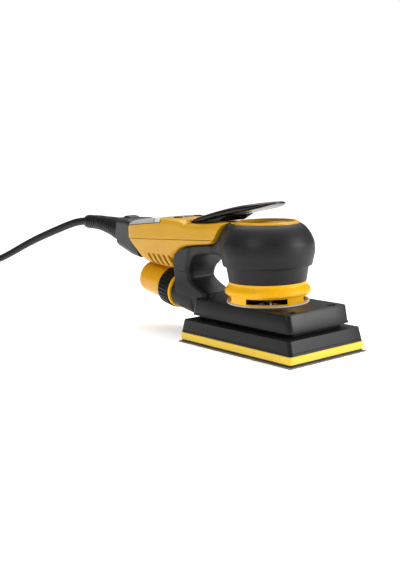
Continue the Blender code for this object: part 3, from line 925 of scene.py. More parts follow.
@dataclass
class Stage:
    """Floor, soft lights and the camera."""

    place: Point = (0.5082, -0.4721, 0.1611)
    right: Point = (0.624, 0.781, -0.028)
    up: Point = (-0.105, 0.119, 0.987)
    back: Point = (0.775, -0.613, 0.156)
    lens: float = 54.45
    sensor: float = 36.0
    ambient: float = 0.20

    def camera(self) -> None:
        """Aim the camera."""
        data = bpy.data.cameras.new("camera")
        data.lens, data.sensor_width, data.sensor_fit = self.lens, self.sensor, "AUTO"
        data.clip_start = 0.01
        obj = bpy.data.objects.new("camera", data)
        x, z = Vector(self.right).normalized(), Vector(self.back).normalized()
        y = z.cross(x).normalized()
        x = y.cross(z).normalized()
        turn = Matrix((x, y, z)).transposed().to_4x4()
        obj.matrix_world = Matrix.Translation(self.place) @ turn
        bpy.context.scene.collection.objects.link(obj)
        bpy.context.scene.camera = obj

    def lamp(self, name: str, place: Point, size: float, power: float, aim: Point = (-0.05, 0, 0.05)) -> None:
        """A soft square lamp aimed at a point.

        Args:
            name: Name of the piece or light.
            place: Where the lamp stands.
            size: Side of the lamp, in metres.
            power: Its strength.
            aim: The point it faces.
        """
        data = bpy.data.lights.new(name, "AREA")
        data.shape, data.size, data.energy = "SQUARE", size, power
        obj = bpy.data.objects.new(name, data)
        toward = Vector(aim) - Vector(place)
        obj.matrix_world = Matrix.Translation(place) @ toward.to_track_quat("-Z", "Y").to_matrix().to_4x4()
        bpy.context.scene.collection.objects.link(obj)

    def sun(self, name: str, toward: Point, power: float) -> None:
        """A very wide, even light from one direction.

        Args:
            name: Name of the piece or light.
            toward: Where the light comes from.
            power: Its strength.
        """
        data = bpy.data.lights.new(name, "SUN")
        data.energy, data.angle = power, math.radians(75)
        obj = bpy.data.objects.new(name, data)
        obj.matrix_world = Vector(toward).to_track_quat("Z", "Y").to_matrix().to_4x4()
        bpy.context.scene.collection.objects.link(obj)

    def floor(self) -> None:
        """A pale floor that reaches past the view."""
        shape = bmesh.new()
        bmesh.ops.create_grid(shape, x_segments=1, y_segments=1, size=60.0)
        data = bpy.data.meshes.new("floor")
        shape.to_mesh(data)
        shape.free()
        obj = bpy.data.objects.new("floor", data)
        obj.location.z = -0.0002
        paint = Paint("floor_paper")
        paint.set("Base Color", paint.mix(paint.noise(3.0), (0.955, 0.955, 0.955), (0.965, 0.965, 0.965)))
        paint.set("Roughness", 0.9)
        paint.set("Specular IOR Level", 0.1)
        paint.set("Emission Color", (1.0, 1.0, 1.0, 1.0))
        paint.set("Emission Strength", 0.28)
        data.materials.append(paint.material)
        bpy.context.scene.collection.objects.link(obj)

    def light(self) -> None:
        """Even white surroundings with a large overhead light and two side lights."""
        world = bpy.data.worlds.new("studio")
        world.use_nodes = True
        tree = world.node_tree
        sky = tree.nodes["Background"]
        sky.inputs["Color"].default_value = (1, 1, 1, 1)
        sky.inputs["Strength"].default_value = self.ambient
        seen, rays, pick = (tree.nodes.new(f"ShaderNode{k}")
                            for k in ("Background", "LightPath", "MixShader"))
        seen.inputs["Color"].default_value = (1, 1, 1, 1)
        seen.inputs["Strength"].default_value = 1.1
        tree.links.new(rays.outputs["Is Camera Ray"], pick.inputs[0])
        tree.links.new(sky.outputs[0], pick.inputs[1])
        tree.links.new(seen.outputs[0], pick.inputs[2])
        tree.links.new(pick.outputs[0], tree.nodes["World Output"].inputs[0])
        bpy.context.scene.world = world
        bpy.context.scene.view_settings.view_transform = "Standard"
        self.sun("high_sun", (-0.25, 0.3, 1.0), 2.4)
        self.lamp("overhead", (-0.30, 0.25, 1.05), 0.9, 4.0)
        self.lamp("key", (0.25, -1.05, 0.75), 0.35, 4.5)
        self.lamp("rim", (0.75, 0.55, 0.35), 0.35, 6.0)

    def set(self) -> None:
        """Set the whole stage."""
        self.camera()
        self.floor()
        self.light()


# ---------------------------------------------------------------- lead and coil


@dataclass
class Lead:
    """The mains lead: its free hang, its coil, the tie and the plug."""

    thick: float = 8.0
    route: Sequence[Point] = ((-275.4, 0, 89.0), (-281.0, 0, 89.0), (-295.0, 0, 87.6), (-315.0, 0, 83.6),
                              (-335.5, 0, 78.4), (-365.0, 0, 70.6), (-395.8, 0, 62.0), (-425.0, 0, 53.0),
                              (-455.0, 0, 43.2), (-480.0, 0, 35.4), (-495.0, 0, 31.2), (-509.0, 0, 27.8))
    coil: tuple[float, float] = (-609.0, -30.0)
    radii: Sequence[float] = (60.6, 52.4, 44.2, 36.0)
    rows: Sequence[float] = (20.6, 12.4, 4.2)
    per_turn: int = 36
    plug_rise: float = 37.5

    def line(self) -> list[Point]:
        """The whole centreline: down the hang, round each column of the coil, then into the plug.

        Returns:
            The points, in mm.
        """
        cx, cy = self.coil
        points = [tuple(p) for p in flow(self.route, 40)]
        start, end = self.route[-1], (cx, cy + self.radii[0], self.rows[0])
        for i in range(1, 12):
            t = i / 12
            side, fall = t * t * (3 - 2 * t), (t ** 3 - 2 * t * t + t) * -0.235 * (start[0] - end[0])
            points.append((start[0] + (end[0] - start[0]) * t, start[1] + (end[1] - start[1]) * side,
                           start[2] + (end[2] - start[2]) * side + fall))
        angle = math.pi / 2
        down = True
        height = self.rows[0]
        for k, radius in enumerate(self.radii):
            stops = self.rows if down else self.rows[::-1]
            for level in stops:
                for i in range(self.per_turn):
                    share = min(1.0, (i / self.per_turn) * 4.0)
                    share = share * share * (3 - 2 * share)
                    z = height + (level - height) * share
                    out = radius
                    if level == stops[0] and k:
                        out = self.radii[k - 1] + (radius - self.radii[k - 1]) * share
                    points.append((cx + out * math.cos(angle), cy + out * math.sin(angle), z))
                    angle += 2 * math.pi / self.per_turn
                height = level
            down = not down
        last, middle = self.radii[-1], (self.radii[0] + self.radii[-1]) / 2
        steps = self.per_turn // 2
        for i in range(steps + 1):
            share = i / steps
            ease = share * share * (3 - 2 * share)
            out = last + (middle - last) * ease
            points.append((cx + out * math.cos(angle), cy + out * math.sin(angle),
                           self.rows[0] + (self.plug_rise - self.rows[0]) * ease))
            angle += 2 * math.pi / self.per_turn
        return points

    def build(self) -> None:
        points = self.line()
        curve = bpy.data.curves.new("lead", "CURVE")
        curve.dimensions, curve.bevel_depth, curve.bevel_resolution = "3D", self.thick / 2 * MM, 5
        curve.use_fill_caps = True
        spline = curve.splines.new("POLY")
        spline.points.add(len(points) - 1)
        for dot, p in zip(spline.points, points):
            dot.co = (*(Vector(p) * MM), 1.0)
        spline.use_smooth = True
        lead = bpy.data.objects.new("lead", curve)
        bpy.context.scene.collection.objects.link(lead)
        curve.materials.append(CORD.material())
        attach(lead, Body.HOUSING.value)
        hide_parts("cord", "cord_coil")
        tuple(c * MM for c in points[0])
        self.tie()
        self.plug()

    def tie(self) -> bpy.types.Object:
        """A strap round the coil.

        Returns:
            The finished strap.
        """
        cx, cy = self.coil
        out, inn = self.radii[0] + self.thick / 2, self.radii[-1] - self.thick / 2
        high, half = self.rows[0] + self.thick / 2, (out - inn) / 2
        wide, thick = 7.0, 0.9
        mid = (out + inn) / 2
        ring = rounded(half + 0.3, high / 2 - 0.1, (3.5, 3.5), (3.5, 3.5))
        inner = [(a * half / (half + thick), b * 0.94) for a, b in ring]
        strap = Solid.skin([[(mid + a, s, high / 2 + b) for a, b in ring] for s in (-wide / 2, wide / 2)])
        hole = Solid.skin([[(mid + a, s, high / 2 + b) for a, b in inner] for s in (-wide, wide)])
        strap.combine([hole])
        strap.put((cx, cy, 0.05), math.radians(205))
        return strap.finish("lead_tie", Body.HOUSING, TIE, soft=0.2)

    def plug(self) -> bpy.types.Object:
        """The moulded mains plug, its neck ribbed.

        Returns:
            The finished plug.
        """
        low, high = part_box("mains_plug")
        size = (high.x - low.x) / MM
        wide = (high.y - low.y) / MM / 2
        profile = [(0, size), (wide - 1.2, size), (wide, size - 1.2), (wide, size - 14),
                   (wide - 1.5, size - 18)]
        profile += flow([(wide - 2.5, size - 19), (8.2, 17), (7.6, 12)], 6)
        for k in range(4):
            z = 11.0 - 2.6 * k
            profile += [(7.3 - 0.4 * k, z), (7.3 - 0.4 * k, z - 1.5), (5.6, z - 1.6), (5.6, z - 2.4)]
        profile += [(5.4, 0), (0, 0)]
        shape = Solid.lathe(profile, 64)
        for turn in range(8):
            ridge = Solid.rod(0.9, size - 13, size - 3, 12)
            angle = 2 * math.pi * turn / 8 + 0.4
            shape.combine([ridge.put((wide * math.cos(angle), wide * math.sin(angle), 0))])
        shape.put(((low.x) / MM, (low.y + high.y) / 2 / MM, (low.z + high.z) / 2 / MM), math.pi / 2, "Y")
        return shape.finish("plug_body", Body.HOUSING, CORD, ["mains_plug"])


# ---------------------------------------------------------------- pad


@dataclass
class Pad:
    """The moving sanding pad and what sticks to it."""

    length: float = 133.0
    width: float = 81.0
    over: float = 1.6
    base_in: tuple[float, float] = (3.2, 1.2)
    holes: Sequence[Point] = field(default_factory=list)
    hole_r: float = 4.0
    middle: Point = (0, 0, 0)

    def __post_init__(self) -> None:
        """Take the pad's place from the frame."""
        low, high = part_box("foam_pad")
        self.middle = ((low.x + high.x) / 2 / MM, (low.y + high.y) / 2 / MM, 0.0)
        self.holes = [(x, y, 0.0) for x in (-24.0, 24.0) for y in (-20.0, 0.0, 20.0)]

    def layer(self, node: str, low_in: Point = (0, 0, 0), high_in: Point = (0, 0, 0),
              radius: float = 3.0) -> Solid:
        """A layer of the pad between its node's two heights, with its dust holes.

        Args:
            node: The frame node that gives the heights.
            low_in: Insets of the low outline.
            high_in: Insets of the high outline.
            radius: Radius, in mm.

        Returns:
            The solid, in place.
        """
        low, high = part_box(node)
        half = (self.length / 2, self.width / 2)
        shape = Solid.skin([plan(low.z / MM, half[0] - low_in[0], half[1] - low_in[1], radius),
                            plan(high.z / MM, half[0] - high_in[0], half[1] - high_in[1], radius)])
        shape.combine([Solid.rod(self.hole_r, -2, high.z / MM + 2).put(h) for h in self.holes])
        return shape.put(self.middle)

    def net(self) -> None:
        """The abrasive net, a little larger than the pad, with a cut edge that wanders."""
        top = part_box("abrasive_sheet")[1].z / MM
        half = (self.length / 2 + self.over, self.width / 2 + self.over)

        def ring(z: float, lift: float) -> list[Point]:
            """One outline at a height, wavy in plan and height.

            Args:
                z: Height.
                lift: Share of the waviness in height.

            Returns:
                The points of the outline.
            """
            out = []
            for x, y in rounded(*half, (1.2, 1.2), (1.2, 1.2), 4, 60):
                wave = math.sin(x * 0.55 + y * 0.4) * 0.12 + math.sin(x * 1.7 - y * 1.3) * 0.08
                share = 1 - (0.25 + wave) / 70
                out.append((x * share, y * share, z + lift * (0.08 + 0.08 * math.sin(x * 0.35 - y * 0.6))))
            return out

        shape = Solid.skin([ring(0.0, 1.0), ring(top - 0.18, 1.0)])
        net = shape.put(self.middle).finish("abrasive_cloth", Body.PAD, NET, ["abrasive_sheet"])
        2 * half[0] * MM
        2 * half[1] * MM

    def build(self) -> None:
        """Make the net, the hook layer, the foam and the base."""
        self.layer("hook_sheet", (0.3, 0.3), (0.3, 0.3)).finish("hook_layer", Body.PAD, HOOKS, ["hook_sheet"])
        self.net()
        foam = self.layer("foam_pad", radius=2.2)
        foam.bevel(0.35, 2, 60)
        foam.finish("foam_layer", Body.PAD, FOAM, ["foam_pad"])
        base = self.layer("pad_base", (0.4, 0.4), (*self.base_in, 0), 3.0)
        low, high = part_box("pad_base")
        top = high.z / MM
        seat = Solid.rod(13.3, top - 6.8, top + 2).put(self.middle)
        lip_low, lip_high = low.z / MM + 1.4, low.z / MM + 1.9
        x, y = self.length / 2, self.width / 2
        groove = Solid.skin([plan(z, x + 3, y + 3, 3) for z in (lip_low, lip_high)])
        groove.combine([Solid.skin([plan(z, x - 1.2, y - 0.95, 3) for z in (lip_low - 1, lip_high + 1)])])
        sinks = [Solid.lathe([(0, top + 1), (3.6, top + 1), (3.6, top - 3.1), (1.9, top - 3.1),
                              (1.9, low.z / MM + 3), (0, low.z / MM + 3)], 32).put(
            (self.middle[0] + sx * SCREW_X, self.middle[1] + sy * SCREW_Y, 0))
            for sx in (-1, 1) for sy in (-1, 1)]
        base.combine([groove.put(self.middle), seat, *sinks])
        base.finish("pad_plate", Body.PAD, SATIN, ["pad_base"], soft=0.35)


# ---------------------------------------------------------------- cover


@dataclass
class Cover:
    """The fixed cover over the pad, with its access holes, and the rings on it."""

    low_in: tuple[float, float] = (7.4, 7.0)
    top_in: tuple[float, float] = (10.5, 7.5)
    pad: tuple[float, float] = (133.0, 81.0)
    wall: float = 2.5
    hole_r: float = 3.4

    def shell(self) -> None:
        """The tapered cover, open below, with sunk holes and a line round its foot."""
        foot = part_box("shroud")[0].z / MM
        low = (self.pad[0] / 2 - self.low_in[0], self.pad[1] / 2 - self.low_in[1])
        top = (self.pad[0] / 2 - self.top_in[0], self.pad[1] / 2 - self.top_in[1])
        outer = [(foot, low[0], low[1], 4.6), (foot + 1.2, low[0], low[1], 4.6),
                 (foot + 1.5, low[0] - 0.6, low[1] - 0.4, 4.4),
                 (DECK - 0.9, top[0] + 0.25, top[1] + 0.1, 4.4),
                 (DECK - 0.3, top[0] - 0.1, top[1] - 0.2, 4.2), (DECK, top[0] - 0.7, top[1] - 0.8, 3.8)]
        cover = Solid.skin([plan(z, a, b, r) for z, a, b, r in outer])
        inner = Solid.skin([plan(foot - 1, low[0] - self.wall, low[1] - self.wall, 4),
                            plan(DECK - 3, top[0] - self.wall, top[1] - self.wall, 4)])
        cuts = [inner, Solid.rod(22, DECK - 5, DECK + 2, 96)]
        for sx in (-1, 1):
            for sy in (-1, 1):
                cuts.append(Solid.rod(self.hole_r, DECK - 6, DECK + 2, 40).put(
                    (sx * SCREW_X, sy * SCREW_Y, 0)))
                cuts.append(Solid.lathe([(0, DECK + 1), (self.hole_r + 1.8, DECK + 1),
                                         (self.hole_r + 0.8, DECK - 0.02), (self.hole_r - 0.3, DECK - 0.9),
                                         (0, DECK - 0.9)], 40).put((sx * SCREW_X, sy * SCREW_Y, 0)))
        cuts.append(Solid.box((-self.pad[0] / 2, -9, foot + 2), (-self.pad[0] / 2 + 16, 9, DECK - 4)))
        cover.combine(cuts)
        notch = [Solid.box((-low[0] + 5.0, s * low[1] - 0.7, foot + 2.8), (-low[0] + 5.5, s * low[1] + 0.7,
                                                                          DECK - 3.0)) for s in (-1, 1)]
        cover.combine(notch)
        cover.finish("pad_cover", Body.HOUSING, SATIN, ["shroud"], soft=0.25, angle=30)

    def rings(self) -> None:
        """The pale gasket and the yellow vent ring over it."""
        gasket = Solid.lathe([(29.0, DECK + 1.2), (33.3, DECK + 1.2), (33.6, DECK + 1.0), (33.7, DECK + GAP),
                              (29.0, DECK + GAP)], 128)
        gasket.finish("gasket_band", Body.HOUSING, PALE, ["gasket_ring"])
        outside = flow([(31.6, 17.5), (31.7, 15.8), (32.6, 14.1), (34.1, 12.2), (34.9, 10.6), (35.0, 9.0),
                        (34.8, 8.3)], 22) + [(34.2, 7.7), (33.1, 7.5), (33.0, 7.2), (33.0, 1.5), (32.8, 1.4)]
        inside = [(30.2, 1.4), (30.2, 10.5), (28.8, 14.0), (28.6, 17.5)]
        ring = Solid.lathe([(r, DECK + z) for r, z in outside + inside], 128)
        for angle in (45, 135):
            window = Solid.box((-45, -16.2, DECK + 2.2), (45, 16.2, DECK + 6.6))
            ring.combine([window.put(turn=math.radians(angle))])
        ring.finish("vent_band", Body.HOUSING, YELLOW, ["vent_ring"], soft=0.15, angle=30)

    def build(self) -> None:
        """Make the cover and its rings."""
        self.shell()
        self.rings()


# ---------------------------------------------------------------- head, loop and tail


@dataclass
class Tail:
    """The two amber shells behind the dome, with the inlay and keys."""

    upper: Sequence[tuple[float, ...]] = (
        (-166.5, 21.5, 56.0), (-165.6, 22.8, 57.2), (-163.0, 24.0, 58.5), (-150.0, 25.3, 61.3),
        (-117.0, 25.8, 64.0), (-98.0, 25.5, 64.4), (-84.0, 25.3, 63.4), (-78.0, 25.2, 61.3),
        (-60.0, 25.0, 61.6), (-44.0, 24.8, 62.8), (-30.0, 24.4, 64.3), (-12.0, 20.0, 65.5))
    lower: Sequence[tuple[float, ...]] = (
        (-164.8, 22.6, 42.2), (-161.0, 24.0, 37.0), (-155.5, 24.8, 29.5), (-150.0, 25.1, 24.2),
        (-145.0, 25.3, 22.0), (-141.0, 25.4, 21.4), (-111.0, 25.5, 19.4), (-107.4, 25.4, 19.45),
        (-106.7, 25.4, 20.2), (-106.4, 25.4, 22.0), (-105.0, 25.4, 25.6), (-100.5, 25.4, 31.0),
        (-92.3, 25.3, 36.0), (-81.7, 25.1, 39.8), (-69.0, 25.0, 42.3), (-55.0, 24.9, 43.8),
        (-45.6, 24.8, 45.0), (-42.6, 24.8, 46.4), (-40.4, 24.8, 47.9), (-39.8, 24.8, 48.3))
    neck: Sequence[tuple[float, float]] = (
        (-52.0, 44.0), (-46.0, 44.6), (-43.5, 45.4), (-41.0, 46.8), (-37.0, 51.0), (-33.0, 56.6),
        (-28.5, 61.0), (-25.0, 63.0), (-20.0, 64.8))
    bridge: Sequence[tuple[float, ...]] = (
        (-82.0, 24.9, 22.0, 42.0), (-77.0, 24.9, 27.6, 42.5), (-71.5, 24.9, 32.4, 43.0),
        (-66.0, 24.9, 34.4, 43.6), (-60.0, 24.9, 35.6, 44.0), (-53.0, 24.9, 36.3, 44.2),
        (-46.0, 24.9, 36.2, 44.6), (-39.0, 24.9, 35.3, 44.6), (-28.0, 24.6, 30.5, 44.6),
        (-14.0, 24.0, 30.2, 44.6))
    foot: float = -60.2
    wall: float = 2.5
    dome: Sequence[tuple[float, float]] = (
        (0.0, 64.0), (24.6, 64.0), (26.4, 63.8), (29.9, 62.0), (33.0, 58.7), (36.2, 53.5), (38.3, 47.3),
        (38.6, 42.0), (37.6, 36.0), (36.6, 32.0), (36.3, 30.6))

    def column(self) -> list[tuple[float, ...]]:
        """Stations of the duct column up Z: height, rear x, front x, half width.

        Returns:
            The stations.
        """
        f = self.foot
        return [(-17.0, -104.0, f - 10.3, 10.0), (-15.5, -106.2, f - 5.0, 12.2),
                (-13.0, -107.4, f - 1.8, 13.4),
                (-8.0, -108.6, f - 0.4, 14.8), (0.0, -109.1, f - 2.0, 15.5), (3.0, -109.2, f - 8.0, 15.5),
                (8.0, -109.3, -78.5, 15.4), (13.0, -109.2, -83.9, 15.5), (18.0, -108.4, -83.5, 16.8),
                (22.0, -107.0, -81.9, 18.1), (28.4, -104.0, -77.6, 20.1), (33.0, -100.0, -74.0, 21.5),
                (36.2, -96.0, -72.0, 22.6), (42.5, -84.0, -70.0, 24.5)]

    def dome_solid(self, grow: float = 0.0) -> Solid:
        """The round grip over the motor, above its step.

        Args:
            grow: Clearance added outside, in mm.

        Returns:
            The dome.
        """
        side = flow(self.dome[1:], 44)
        profile = [(0.0, DECK + 64.0 + grow), *((r + grow, DECK + z) for r, z in side),
                   (35.9, DECK + 30.0), (0.0, DECK + 30.0)]
        return Solid.lathe(profile, 128)

    def under(self, grow: float) -> Solid:
        """The space of the lower shell, wider than the tail, grown downwards.

        Args:
            grow: Clearance added outside, in mm.

        Returns:
            The cutter.
        """
        rows = flow(self.lower[3:], 90)
        return Solid.skin([across(x + grow, half + 4, DECK + low - grow, DECK + 60, (0.5, 0.5), (0.8, 0.8))
                           for x, half, low in rows])

    def neck_solid(self, grow: float, half: float, depth: float) -> Solid:
        """The black wedge that climbs from the loop to the rim of the dome.

        Args:
            grow: Clearance added outside, in mm.
            half: Half of the width.
            depth: How far below it reaches, or 0 for the rubber itself.

        Returns:
            The neck, or its cutter.
        """
        rows = flow(self.neck, 50)
        if depth:
            return Solid.skin([across(x - grow * 0.8, half, DECK + 30.4 - depth, DECK + high + grow,
                                      (0.5, 0.5), (0.6, 0.6)) for x, high in rows])
        foot = [(x, low) for x, _, low, _ in flow(self.bridge, 60)]
        rings = []
        for x, high in rows:
            low = min(foot, key=lambda row: abs(row[0] - x))[1]
            rings.append(leaning(across(x, half, DECK + low + 0.1, DECK + high, (2.8, 2.0), (0.6, 0.6))))
        return Solid.skin(rings)

    def grip(self) -> None:
        """Dome, neck, bridge and column as one rubber skin with fillets, parted at its seam."""
        dome = self.dome_solid()
        neck = self.neck_solid(0.0, 24.9, 0.0)
        bridge = Solid.skin([leaning(across(x, half, DECK + low, DECK + high, (3.0, 2.2), (0.8, 0.8)))
                             for x, half, low, high in flow(self.bridge, 60)])
        rows = flow(self.column(), 64)
        column = Solid.skin([plan(DECK + z, (front - rear) / 2, half, 5.5, (front + rear) / 2)
                             for z, rear, front, half in rows])
        stub = Solid.rod(15.4, -30, -GAP, 96).put(PORT_PLACE, PORT_TURN, "Y")
        skin = column.combine([stub, bridge], Join.ADD).combine([self.under(GAP)])
        skin.combine([dome, neck], Join.ADD)
        skin.melt(0.85, 3)

        def corner(place: Vector) -> float:
            """How much a point may ease: near the crease between dome and neck.

            Args:
                place: A point of the skin.

            Returns:
                A share from 0 to 1.
            """
            x, y, z = place.x, abs(place.y), place.z - DECK
            if not (-52 < x < -6 and 15 < y < 36 and z > 31.5):
                return 0.0
            gap = abs(math.hypot(x, y) - self.radius(z))
            near = max(0.0, 1 - gap / 13.0) * min(1.0, max(0.0, (-6 - x) / 10.0))
            ends = min(1.0, (z - 31.5) / 4.0) * min(1.0, max(0.0, (65.0 - z) / 5.0))
            return 0.6 * min(1.0, near * 1.6) * ends

        skin.relax(corner, 170)
        cavity = Solid.lathe([(0.0, DECK + 60.4), (26.4, DECK + 60.4), (32.6, DECK + 52.5),
                              (34.6, DECK + 42.0), (33.4, DECK + 34.0), (30.2, DECK + 28.5),
                              (0.0, DECK + 28.5)], 96)
        skin.combine([cavity, Solid.rod(26.4, DECK + 58, DECK + 72, 96)])
        foot = skin.copy()
        skin.slice(DECK + 17.95, True)
        skin.finish("grip_skin", Body.HOUSING, GRIP, ["grip_shell", "finger_bridge"])
        foot.slice(DECK + 17.65, False)
        bore = Solid.rod(12.8, -24, 1, 64).put(PORT_PLACE, PORT_TURN, "Y")
        foot.combine([bore]).finish("duct_foot", Body.HOUSING, GRIP, ["duct_column"])
        outside = [(35.0, 31.5), (34.8, 30.5), (33.9, 30.2), (33.65, 29.7)]
        outside += flow([(33.6, 29.4), (33.0, 26.6), (32.4, 23.2), (31.9, 19.6), (31.65, 18.0)], 12)
        collar = Solid.lathe([(r, DECK + z) for r, z in outside + [(31.4, 17.8), (29.0, 17.8), (30.4, 28.6),
                                                                   (33.2, 31.5)]], 128)
        collar.finish("grip_collar", Body.HOUSING, GRIP)

    def radius(self, z: float) -> float:
        """Radius of the dome at a height over the deck.

        Args:
            z: Height.

        Returns:
            The radius, in mm.
        """
        rows = self.dome[1:]
        for (r1, z1), (r2, z2) in zip(rows, rows[1:]):
            if z2 <= z <= z1:
                return r1 + (r2 - r1) * (z1 - z) / max(1e-6, z1 - z2)
        return rows[-1][0] if z < rows[-1][1] else rows[0][0]

    def top(self) -> None:
        """The upper shell, with its turned cap and dish, the lever well, the key holes and the inlay bed."""
        rows = flow(self.upper, 70)
        shell = Solid.skin([across(x, half, DECK + seam(x) + GAP / 2, DECK + high, (0.5, 0.5), (4.4, 4.4))
                            for x, half, high in rows])
        shell.combine([self.neck_solid(GAP, 30.0, 4.0), self.dome_solid(GAP)])
        cap = Solid.lathe([(r, DECK + z) for r, z in
                           [(0, 65.7), (23.9, 65.7)] + flow([(24.1, 65.65), (25.3, 65.2), (25.9, 64.5),
                                                             (26.1, 63.6)], 8)
                           + [(26.1, 60.2), (24.0, 58.6), (0, 58.6)]], 128)
        shell.combine([cap], Join.ADD)
        dish = [(0, 70), (23.4, 70), (23.3, 65.75), (23.0, 65.3)]
        dish += flow([(22.9, 64.9), (22.2, 63.6), (20.6, 62.7), (14.0, 61.7), (6.0, 61.3), (0.0, 61.2)], 18)
        hollow = Solid.skin([across(x, half - self.wall, DECK + seam(x) - 2, DECK + high - self.wall,
                                    (0.8, 0.8), (5.0, 3.0)) for x, half, high in flow(self.upper[2:-2], 24)])
        cuts = [Solid.lathe([(r, DECK + z) for r, z in dish], 128), hollow,
                Solid.box((WELL[0], -WELL[2], DECK + 55), (WELL[1], WELL[2], DECK + 70)),
                self.plate(1.2, 3.0, 0.3), Solid.rod(1.9, DECK + 55, DECK + 70, 24).put((LENS_X, 0, 0))]
        cuts += [Solid.rod(4.4, DECK + 55, DECK + 70).put((KEY_X, y, 0)) for y in (-KEY_Y, 0, KEY_Y)]
        shell.combine(cuts)
        shell.finish("tail_top", Body.HOUSING, PANEL, ["upper_shell"], soft=0.3, angle=32)

    def plate(self, under: float, over: float, grow: float) -> Solid:
        """The bed or the plate of the inlay along the rear of the top.

        Args:
            under: Depth below the surface.
            over: Height above the surface.
            grow: Clearance added outside, in mm.

        Returns:
            The plate, or its bed.
        """
        rows = [(x, high) for x, _, high in flow(self.upper, 70) if -158.5 < x < -111.5]
        last = len(rows) - 1
        rings = []
        for k, (x, high) in enumerate(rows):
            edge = min(k, last - k)
            half = 20.9 + grow - max(0, 3 - edge) ** 2 * 0.18
            shift = -grow if k == 0 else grow if k == last else 0.0
            rings.append(across(x + shift, half, DECK + high - under, DECK + high + over, (0.3, 0.3),
                                (1.2, 0.25)))
        return Solid.skin(rings)

    def belly(self) -> None:
        """The lower shell, with its slanting slots."""
        rows = flow(self.lower, 110)
        shell = Solid.skin([leaning(across(x, half, DECK + low, DECK + seam(x) - GAP / 2, (7.0, 6.0),
                                           (0.5, 0.5))) for x, half, low in rows])
        rear = [row for row in self.lower[1:7]] + [(-109.4, 25.4, 19.4)]
        hollow = Solid.skin([leaning(across(x, half - self.wall, DECK + low + self.wall, DECK + seam(x) + 2,
                                            (5.0, 5.0), (0.8, 0.8))) for x, half, low in rear])
        slots = []
        for k in range(5):
            x = -136.5 + 7.55 * k
            ring = [(x - 2.2, 31.3), (x + 1.2, 31.3), (x + 4.6, 21.6), (x + 1.2, 21.6)]
            slot = Solid.skin([[(a, y, DECK + z) for a, z in ring] for y in (-30, 30)])
            slots.append(slot.bevel(0.7, 3, 60))
        shell.combine([hollow, *slots])
        shell.finish("tail_belly", Body.HOUSING, AMBER, ["lower_shell"], soft=0.3, angle=32)

    def controls(self) -> None:
        """The inlay, the three keys with their marks, and the status lens."""
        self.plate(0.9, 0.2, 0.0).finish("inlay_plate", Body.HOUSING, PANEL, ["display_panel"], soft=0.1)
        for name, body, y, node in (("key_minus", Body.MINUS, -KEY_Y, "minus_button"),
                                    ("key_power", Body.POWER, 0.0, "power_button"),
                                    ("key_plus", Body.PLUS, KEY_Y, "plus_button")):
            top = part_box(node)[1].z / MM
            key = Solid.lathe([(0.0, top - 0.35), (2.0, top - 0.22), (3.3, top - 0.02), (3.7, top - 0.1),
                               (4.0, top - 0.5), (4.0, top - 5.2), (0.0, top - 5.2)], 48)
            bars = [Solid.box((-0.35, -1.7, top - 0.8), (0.35, 1.7, top + 0.4))] if y else []
            if y > 0:
                bars.append(Solid.box((-1.7, -0.35, top - 0.8), (1.7, 0.35, top + 0.4)))
            if not y:
                bars.append(Solid.lathe([(1.3, top + 1), (1.9, top + 1), (1.9, top - 0.6),
                                         (1.3, top - 0.6)], 32))
            key.combine(bars).put((KEY_X, y, 0))
            key.finish(name, body, KEY_GREY if not y else SATIN, [node])
        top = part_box("led_lens")[1].z / MM
        lens = Solid.lathe([(0.0, top), (0.9, top - 0.05), (1.4, top - 0.3), (1.6, top - 0.7),
                            (1.6, top - 3.0), (0.0, top - 3.0)], 32).put((LENS_X, 0, 0))
        lens.finish("status_window", Body.HOUSING, LENS, ["led_lens"])

    def build(self) -> None:
        """Make the grip, both shells and the controls."""
        self.grip()
        self.top()
        self.belly()
        self.controls()


@dataclass
class Lever:
    """The leaf-shaped paddle and the web below it."""

    stations: Sequence[tuple[float, ...]] = (
        (-80.0, 14.0, 62.0, 63.6), (-79.0, 15.8, 61.95, 63.9), (-75.0, 18.4, 62.0, 64.8),
        (-65.0, 20.5, 63.4, 67.6), (-41.5, 20.5, 68.6, 73.2), (-17.5, 19.0, 73.0, 78.0),
        (-4.0, 17.6, 75.2, 79.9), (5.0, 14.8, 77.1, 80.9), (10.5, 11.2, 78.6, 81.3), (13.6, 7.2, 79.5, 81.2),
        (14.6, 3.6, 79.9, 80.9))

    def build(self) -> None:
        """Make the paddle and its web."""
        rings = []
        for x, half, low, high in flow(self.stations, 70):
            deep = high - low
            ring = across(x, half, DECK + low, DECK + high, (min(2.5, half / 3), 0.35 * deep),
                          (min(5.0, half / 2), 0.5 * deep))
            rings.append([(px, py, pz - 0.12 * deep * (py / half) ** 2) for px, py, pz in ring])
        paddle = Solid.skin(rings)
        paddle.combine([Solid.rod(1.75, -30, 30, 24).put((PIN_X, 0, DECK + PIN_Z), math.pi / 2, "X")])
        paddle.finish("paddle_leaf", Body.PADDLE, GLOSS, ["lever"], angle=40)
        side = [(-66.0, 61.9), (-45.0, 63.6), (-43.0, 64.0), (-33.0, 68.9), (-32.9, 69.6), (-66.0, 62.8)]
        web = Solid.skin([[(x, y, DECK + z) for x, z in side] for y in (-15, 15)])
        web.combine([Solid.box((-52.0, -3.8, DECK + 55), (-42.8, 3.8, DECK + 75))])
        web.finish("paddle_web", Body.PADDLE, SATIN, ["lever_plunger"], soft=0.3)


